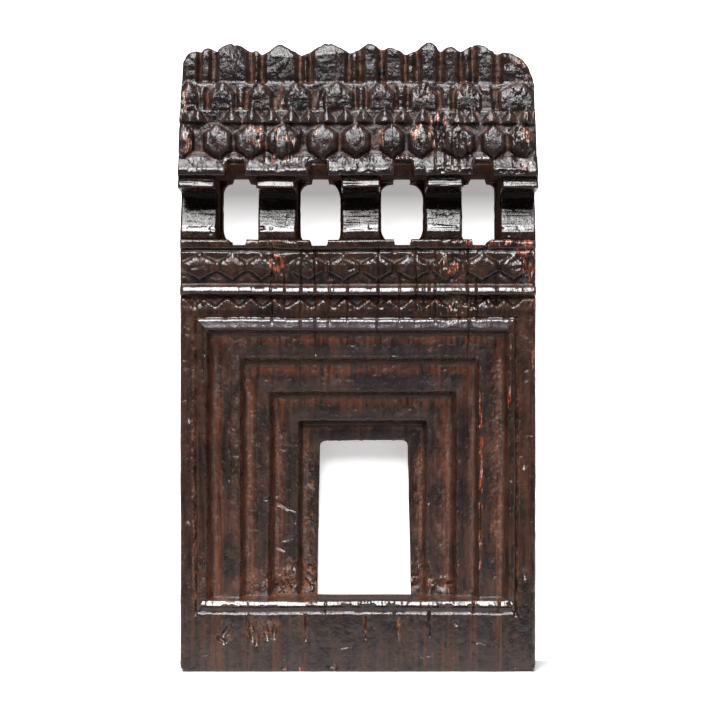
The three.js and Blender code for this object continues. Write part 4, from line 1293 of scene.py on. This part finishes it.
def pierProfile():
    # depth and height up the middle of a pier's front, spaced evenly along the line
    face = bodyDepth + pier["proud"]
    plinthTop = arcadeBottom + pier["plinth"]
    under = corniceBottom - pier["capital"]
    neckTop = under - pier["underRise"]
    rise = np.linspace(0, 1, 24)
    depth = [face - 1.0, face - 0.15, face] + list(
        face - (face - pier["neckDepth"]) * np.interp(rise, *pier["hollow"])
    )
    height = [arcadeBottom, arcadeBottom + 0.5, arcadeBottom + 1]
    height += list(plinthTop + rise * (neckTop - plinthTop))
    lip, panel = panelDepth - pier["lipBack"], panelDepth - pier["panelBack"]
    # the capital: a thin lip, a bevel that leans back a little, then an upright strip set back
    bevelTop = under + pier["lip"] + pier["bevel"]
    depth += [lip - 0.6, lip, lip, lip - 0.1, lip - 0.9, panel, panel]
    height += [under - 0.1, under + 0.25, under + pier["lip"], under + pier["lip"] + 0.15,
               bevelTop, bevelTop + 0.35, corniceBottom]
    depth, height = np.array(depth), np.array(height)
    length = np.concatenate([[0], np.cumsum(np.hypot(np.diff(depth), np.diff(height)))])
    even = np.linspace(0, length[-1], int(length[-1] / frontStep))
    return np.interp(even, length, depth), np.interp(even, length, height)


def webReach(z, foot, head, side):
    # How far the web reaches out from the pier at this height: a quarter ellipse at the foot
    # and another at the head of the bay.
    out = np.full_like(z, side)
    for (wide, tall), rise in ((foot, z - arcadeBottom), (head, corniceBottom - z)):
        if tall > 0:
            t = clamp(1 - rise / tall)
            out = np.maximum(out, side + wide * (1 - np.sqrt(1 - t * t)))
    return out


def carvePier(n, left, right):
    profileD, profileZ = pierProfile()
    isFirst, isLast = n == 0, n == 4
    corners = pier["corners"][n]
    sideLeft, sideRight = pier["webSide"][n]
    reachLeft = webReach(profileZ, corners[0], corners[1], sideLeft) * (not isFirst)
    reachRight = webReach(profileZ, corners[2], corners[3], sideRight) * (not isLast)
    web = pier["webDepth"] + 0.8 * lineDrift(profileZ, 5, 2.0 + n)
    across = np.linspace(0, 1, int((right - left) / frontStep))
    wallRows, webRows, edgeRows, backRows = 30, 10, 12, 10
    edgeFall, edgeWidth = pier["edgeFall"]
    xs, ds, tags = [], [], []
    # 0 the face, 1 sawn walls and back, 2 the outer sides of the panel
    leftTag, rightTag = 1 + isFirst, 1 + isLast

    def row(x, depth, tag):
        xs.append(np.broadcast_to(x, profileZ.shape))
        ds.append(np.broadcast_to(depth, profileZ.shape))
        tags.append(tag)

    for t in across:
        edge = min(t, 1 - t) * (right - left)
        fall = edgeFall * max(0, 1 - edge / edgeWidth) ** 2
        row(left + t * (right - left), profileD - fall, 0)
    for t in steps(wallRows)[1:]:
        row(right, (profileD - edgeFall) * (1 - t) + web * t, rightTag)
    for t in steps(webRows)[1:]:
        row(right + reachRight * t, web - 0.5 * t * t, rightTag)
    for t in steps(edgeRows)[1:]:
        row(right + reachRight, (web - 0.5) * (1 - t), rightTag)
    for t in steps(backRows)[1:-1]:
        row((right + reachRight) * (1 - t) + (left - reachLeft) * t, 0, 1)
    for t in steps(edgeRows)[:-1]:
        row(left - reachLeft, (web - 0.5) * t, leftTag)
    for t in steps(webRows)[:-1]:
        row(left - reachLeft * (1 - t), web - 0.5 * (1 - t) ** 2, leftTag)
    for t in steps(wallRows)[:-1]:
        row(left, web * (1 - t) + (profileD - edgeFall) * t, leftTag)
    x, depth = np.array(xs), np.array(ds)
    z = np.repeat(profileZ[None, :], len(x), axis=0)
    tag = np.repeat(np.array(tags)[:, None], x.shape[1], axis=1)
    flat = x * 0
    hollowZone = clamp((z - arcadeBottom - 3.5) / 1.5) * clamp((corniceBottom - 6 - z) / 1)
    bevelZone = between(z, corniceBottom - pier["capital"] + 0.5, corniceBottom - 1.5, 0.3)
    hollowZone = hollowZone + 1.6 * bevelZone
    striae = knifed("pierStriae", x, z, n)
    chips = 0.5 * clamp(rough(x, depth, z, (3, 3, 3), 1.2, 3) - 0.55)
    depth = depth + np.where(tag == 0, striae * hollowZone - chips, 0)
    x = x + np.where(tag == 1, 0.2 * faceDrift(depth, z, (4, 3), 4.7), 0)
    near = clamp((z - arcadeBottom) / 1.2)
    flecks = clamp(0.5 + 0.8 * rough(x, depth, z, (1.8, 4, 4.5), 9.1, 3))
    inner = (tag == 1) & (depth < 46)
    plinthTop = arcadeBottom + pier["plinth"]
    chipped = clamp((0.8 - np.abs(z - arcadeBottom - 0.6)) * 2)
    strip = between(z, plinthTop - 0.1, plinthTop + 3.2, 0.4)
    bevel = between(z, corniceBottom - pier["capital"] + 0.8, corniceBottom - 2, 0.2)
    # the front is marked rubbed, which the finish paints lighter: wear and a painted highlight
    rubbedAndSheen = 0.25 * clamp((z - arcadeBottom - 2) / 2) * clamp((pier["wornTop"] - z) / 12)
    marks = {
        "wornAndHighlight": np.where(tag == 0, rubbedAndSheen, 0.05),
        "dust": np.where(inner, 0.45 + 0.5 * flecks * clamp(1.2 - depth / 26), 0.15 + 0.8 * (1 - near)),
        "raw": np.where(inner, 0.25 * flecks * clamp(1 - depth / 14), 0.45 * chipped),
        # the sawn walls and back are darkened a little through the hollow mark: painted shade
        "hollow": np.where(tag == 1, 0.3, 0.0),
        "polish": np.where(tag == 0, np.maximum(strip, 0.15 * bevel), 0),
        "warm": flat + 0.5,
        "satinSheen": flat,
    }
    sawnRows = np.array(tags) == 1
    piece = closedTube("pier_%d_carved" % (n + 1), x, depth, z, marks, 3, plainMarks, sawnRows)
    finishPiece(piece, "pier_%d" % (n + 1), "arcade_wood")


for n, (low, high) in enumerate(pier["fronts"]):
    carvePier(n, max(low, -half), min(high, half))
print("piers made")

# ---- cornice and crown


def corniceEdges(x, z, u, v):
    return x, z + (1 - v) * corniceNotch["height"] * atBays(x, corniceNotch["width"], 0.3)


def corniceWall(x, depth, z, share, side):
    # over each bay the underside falls towards the back and is cut up in front
    notched = clamp((z - corniceBottom - 1) / 3) * (side < 0)
    under = (side < 0) * atBays(x, 20.4, 0.6)
    z = z - notched * corniceNotch["fall"] * share
    rise = under * (1 - notched) * 1.6 * clamp((1 - share) * 1.6)
    return x, depth, z + rise


carveMember("cornice", "arcade_wood", crownField,
            [(-half, corniceBottom), (half, corniceBottom), (half, hexagonBottom), (-half, hexagonBottom)],
            walls=(4, 44), backRows=6, capRings=18, edges=corniceEdges, wallPlace=corniceWall,
            wallMarks={"dust": 0.75, "raw": 0.1}, capMarks={"dust": 0.2, "wornAndHighlight": 0.1, "raw": 0.1},
            sawnSides=(0, -1))


def crownSides(z):
    # the crown draws in a little as it rises
    t = (z - hexagonBottom) / (panelTop - hexagonBottom)
    return -half + 0.2 + 1.2 * t, half - 0.3 - 1.0 * t


for node, low, high in (
    ("hexagon_course", hexagonBottom, triangleBottom),
    ("triangle_course", triangleBottom, lowerBottom),
    ("lower_merlon_course", lowerBottom, upperBottom),
):
    (la, ra), (lb, rb) = crownSides(low), crownSides(high)
    carveMember(node, "crown_wood", crownField, [(la, low), (ra, low), (rb, high), (lb, high)],
                walls=(4, 4), backRows=6, capRings=18, capMarks={"dust": 0.3, "raw": 0.15, "wornAndHighlight": 0.1})


def topEdges(x, z, u, v):
    return x, upperBottom + v * (outlineAt(x) - upperBottom)


def topWall(x, depth, z, share, side):
    # behind the pointed fronts the top is one uneven slope
    ground = 293.4 + 0.8 * drift(x, depth, z * 0, (9, 9, 1), 3.7) - 0.07 * (32 - depth)
    ground = np.minimum(ground, outlineAt(x) - 0.4)
    onBack = (side == 0) * (share > 0) * (z - upperBottom) / (outlineAt(x) - upperBottom)
    return x, depth, z + (ground - outlineAt(x)) * (ease(share * 3.2) * (side > 0) + onBack)


(la, ra), (lb, rb) = crownSides(upperBottom), crownSides(panelTop)
carveMember("upper_merlon_course", "crown_wood", crownField,
            [(la, upperBottom), (ra, upperBottom), (rb, panelTop), (lb, panelTop)],
            walls=(40, 4), backRows=10, capRings=18, edges=topEdges, wallPlace=topWall,
            wallMarks={"dust": 0.45, "wornAndHighlight": 0.1}, capMarks={"dust": 0.3, "raw": 0.1})
print("cornice and crown made")

# ---- floor, light and camera

studio = {
    "cameraPlace": (0.00095, -1.010, 0.1481),
    "lens": 105.3,
    # soft lights: degrees across, height over the horizon from in front, strength
    "lights": {"key": (26, 36, 4.2), "high": (26, 60, 4.2), "overhead": (30, 82, 2.2)},
    "sky": 0.16,
    # of the sheet's painted glow, though it is no lamp: everywhere, behind the lower half of the bays, and
    # where that begins and ends
    "paintedGlow": {"weak": 0.37, "strong": 0.95, "rise": (0.2, 0.208), "fall": (0.214, 0.23)},
    "floor": ((-3, -0.15), (3, 6)),   # near left and far right corner, in metres
    "wall": (3, 3, 0.0275),          # half width, height and place of the sheet behind the panel
}


def plane(name, corners):
    mesh = bpy.data.meshes.new(name)
    mesh.from_pydata(corners, [], [(0, 1, 2, 3)])
    flat = bpy.data.objects.new(name, mesh)
    bpy.context.scene.collection.objects.link(flat)
    return flat


(nearX, nearY), (farX, farY) = studio["floor"]
floor = plane("floor", [(nearX, nearY, 0), (farX, nearY, 0), (farX, farY, 0), (nearX, farY, 0)])
paper = bpy.data.materials.new("whitePaper")
paper.use_nodes = True
paper.node_tree.nodes["Principled BSDF"].inputs["Base Color"].default_value = linear("#bcbcbc")
paper.node_tree.nodes["Principled BSDF"].inputs["Roughness"].default_value = 0.9
floor.data.materials.append(paper)

# A white sheet stands behind the panel. It takes shadows, shows from in front only, and no other
# ray meets it. It also glows though it is no lamp, which is painted light: weakly everywhere, which
# lifts the shadows on it, and more strongly behind the lower half of the bays.
wide, tall, behind = studio["wall"]
wall = plane("backdrop", [(-wide, behind, 0), (wide, behind, 0), (wide, behind, tall), (-wide, behind, tall)])
sheet = bpy.data.materials.new("whiteSheet")
sheet.use_nodes = True
sheetTree = sheet.node_tree
sheetTree.nodes.clear()
matte = put(sheetTree, "ShaderNodeBsdfDiffuse", {"Color": linear("#f0f0f0")})
shine = studio["paintedGlow"]
place = put(sheetTree, "ShaderNodeTexCoord").outputs["Object"]
level = put(sheetTree, "ShaderNodeSeparateXYZ", None, {0: place}).outputs["Z"]
more = shine["strong"] - shine["weak"]
ramps = []
for (low, high), first, last in ((shine["rise"], 0.0, more), (shine["fall"], 1.0, 0.0)):
    settings = {1: low, 2: high, 3: first, 4: last}
    ramps.append(put(sheetTree, "ShaderNodeMapRange", settings, {0: level}).outputs[0])
settings = {"operation": "MULTIPLY_ADD", 2: shine["weak"]}
strength = put(sheetTree, "ShaderNodeMath", settings, {0: ramps[0], 1: ramps[1]}).outputs[0]
# the sheet's painted glow, stronger low in the bays
paintedGlow = put(sheetTree, "ShaderNodeEmission", {"Color": (1, 1, 1, 1)}, {"Strength": strength})
lit = put(sheetTree, "ShaderNodeAddShader", None, {0: matte.outputs[0], 1: paintedGlow.outputs[0]})
clear = put(sheetTree, "ShaderNodeBsdfTransparent")
facing = put(sheetTree, "ShaderNodeNewGeometry")
either = put(sheetTree, "ShaderNodeMixShader", None, {
    0: facing.outputs["Backfacing"], 1: lit.outputs[0], 2: clear.outputs[0],
})
put(sheetTree, "ShaderNodeOutputMaterial", None, {"Surface": either.outputs[0]})
wall.data.materials.append(sheet)
wall.visible_shadow = wall.visible_diffuse = wall.visible_glossy = wall.visible_transmission = False

for lightName, (angle, height, strength) in studio["lights"].items():
    sunData = bpy.data.lights.new(lightName, "SUN")
    sunData.energy = strength
    sunData.angle = math.radians(angle)
    sun = bpy.data.objects.new(lightName, sunData)
    bpy.context.scene.collection.objects.link(sun)
    aim = Vector((0.08, math.cos(math.radians(height)), -math.sin(math.radians(height))))
    sun.rotation_euler = aim.to_track_quat("-Z", "Y").to_euler()

world = bpy.data.worlds.new("studio")
bpy.context.scene.world = world
world.use_nodes = True
worldTree = world.node_tree
worldTree.nodes.clear()
soft = put(worldTree, "ShaderNodeBackground", {"Color": (1, 1, 1, 1), "Strength": studio["sky"]})
bright = put(worldTree, "ShaderNodeBackground", {"Color": (1, 1, 1, 1), "Strength": 1.0})
seen = put(worldTree, "ShaderNodeLightPath")
both = put(worldTree, "ShaderNodeMixShader", None, {
    0: seen.outputs["Is Camera Ray"], 1: soft.outputs[0], 2: bright.outputs[0],
})
put(worldTree, "ShaderNodeOutputWorld", None, {"Surface": both.outputs[0]})
bpy.context.scene.view_settings.view_transform = "Standard"

cameraData = bpy.data.cameras.new("camera")
cameraData.lens = studio["lens"]
cameraData.sensor_width = 36
cameraData.clip_start = 0.01
camera = bpy.data.objects.new("camera", cameraData)
camera.location = studio["cameraPlace"]
camera.rotation_euler = (math.pi / 2, 0, 0)
bpy.context.scene.collection.objects.link(camera)
bpy.context.scene.camera = camera
print("studio made")
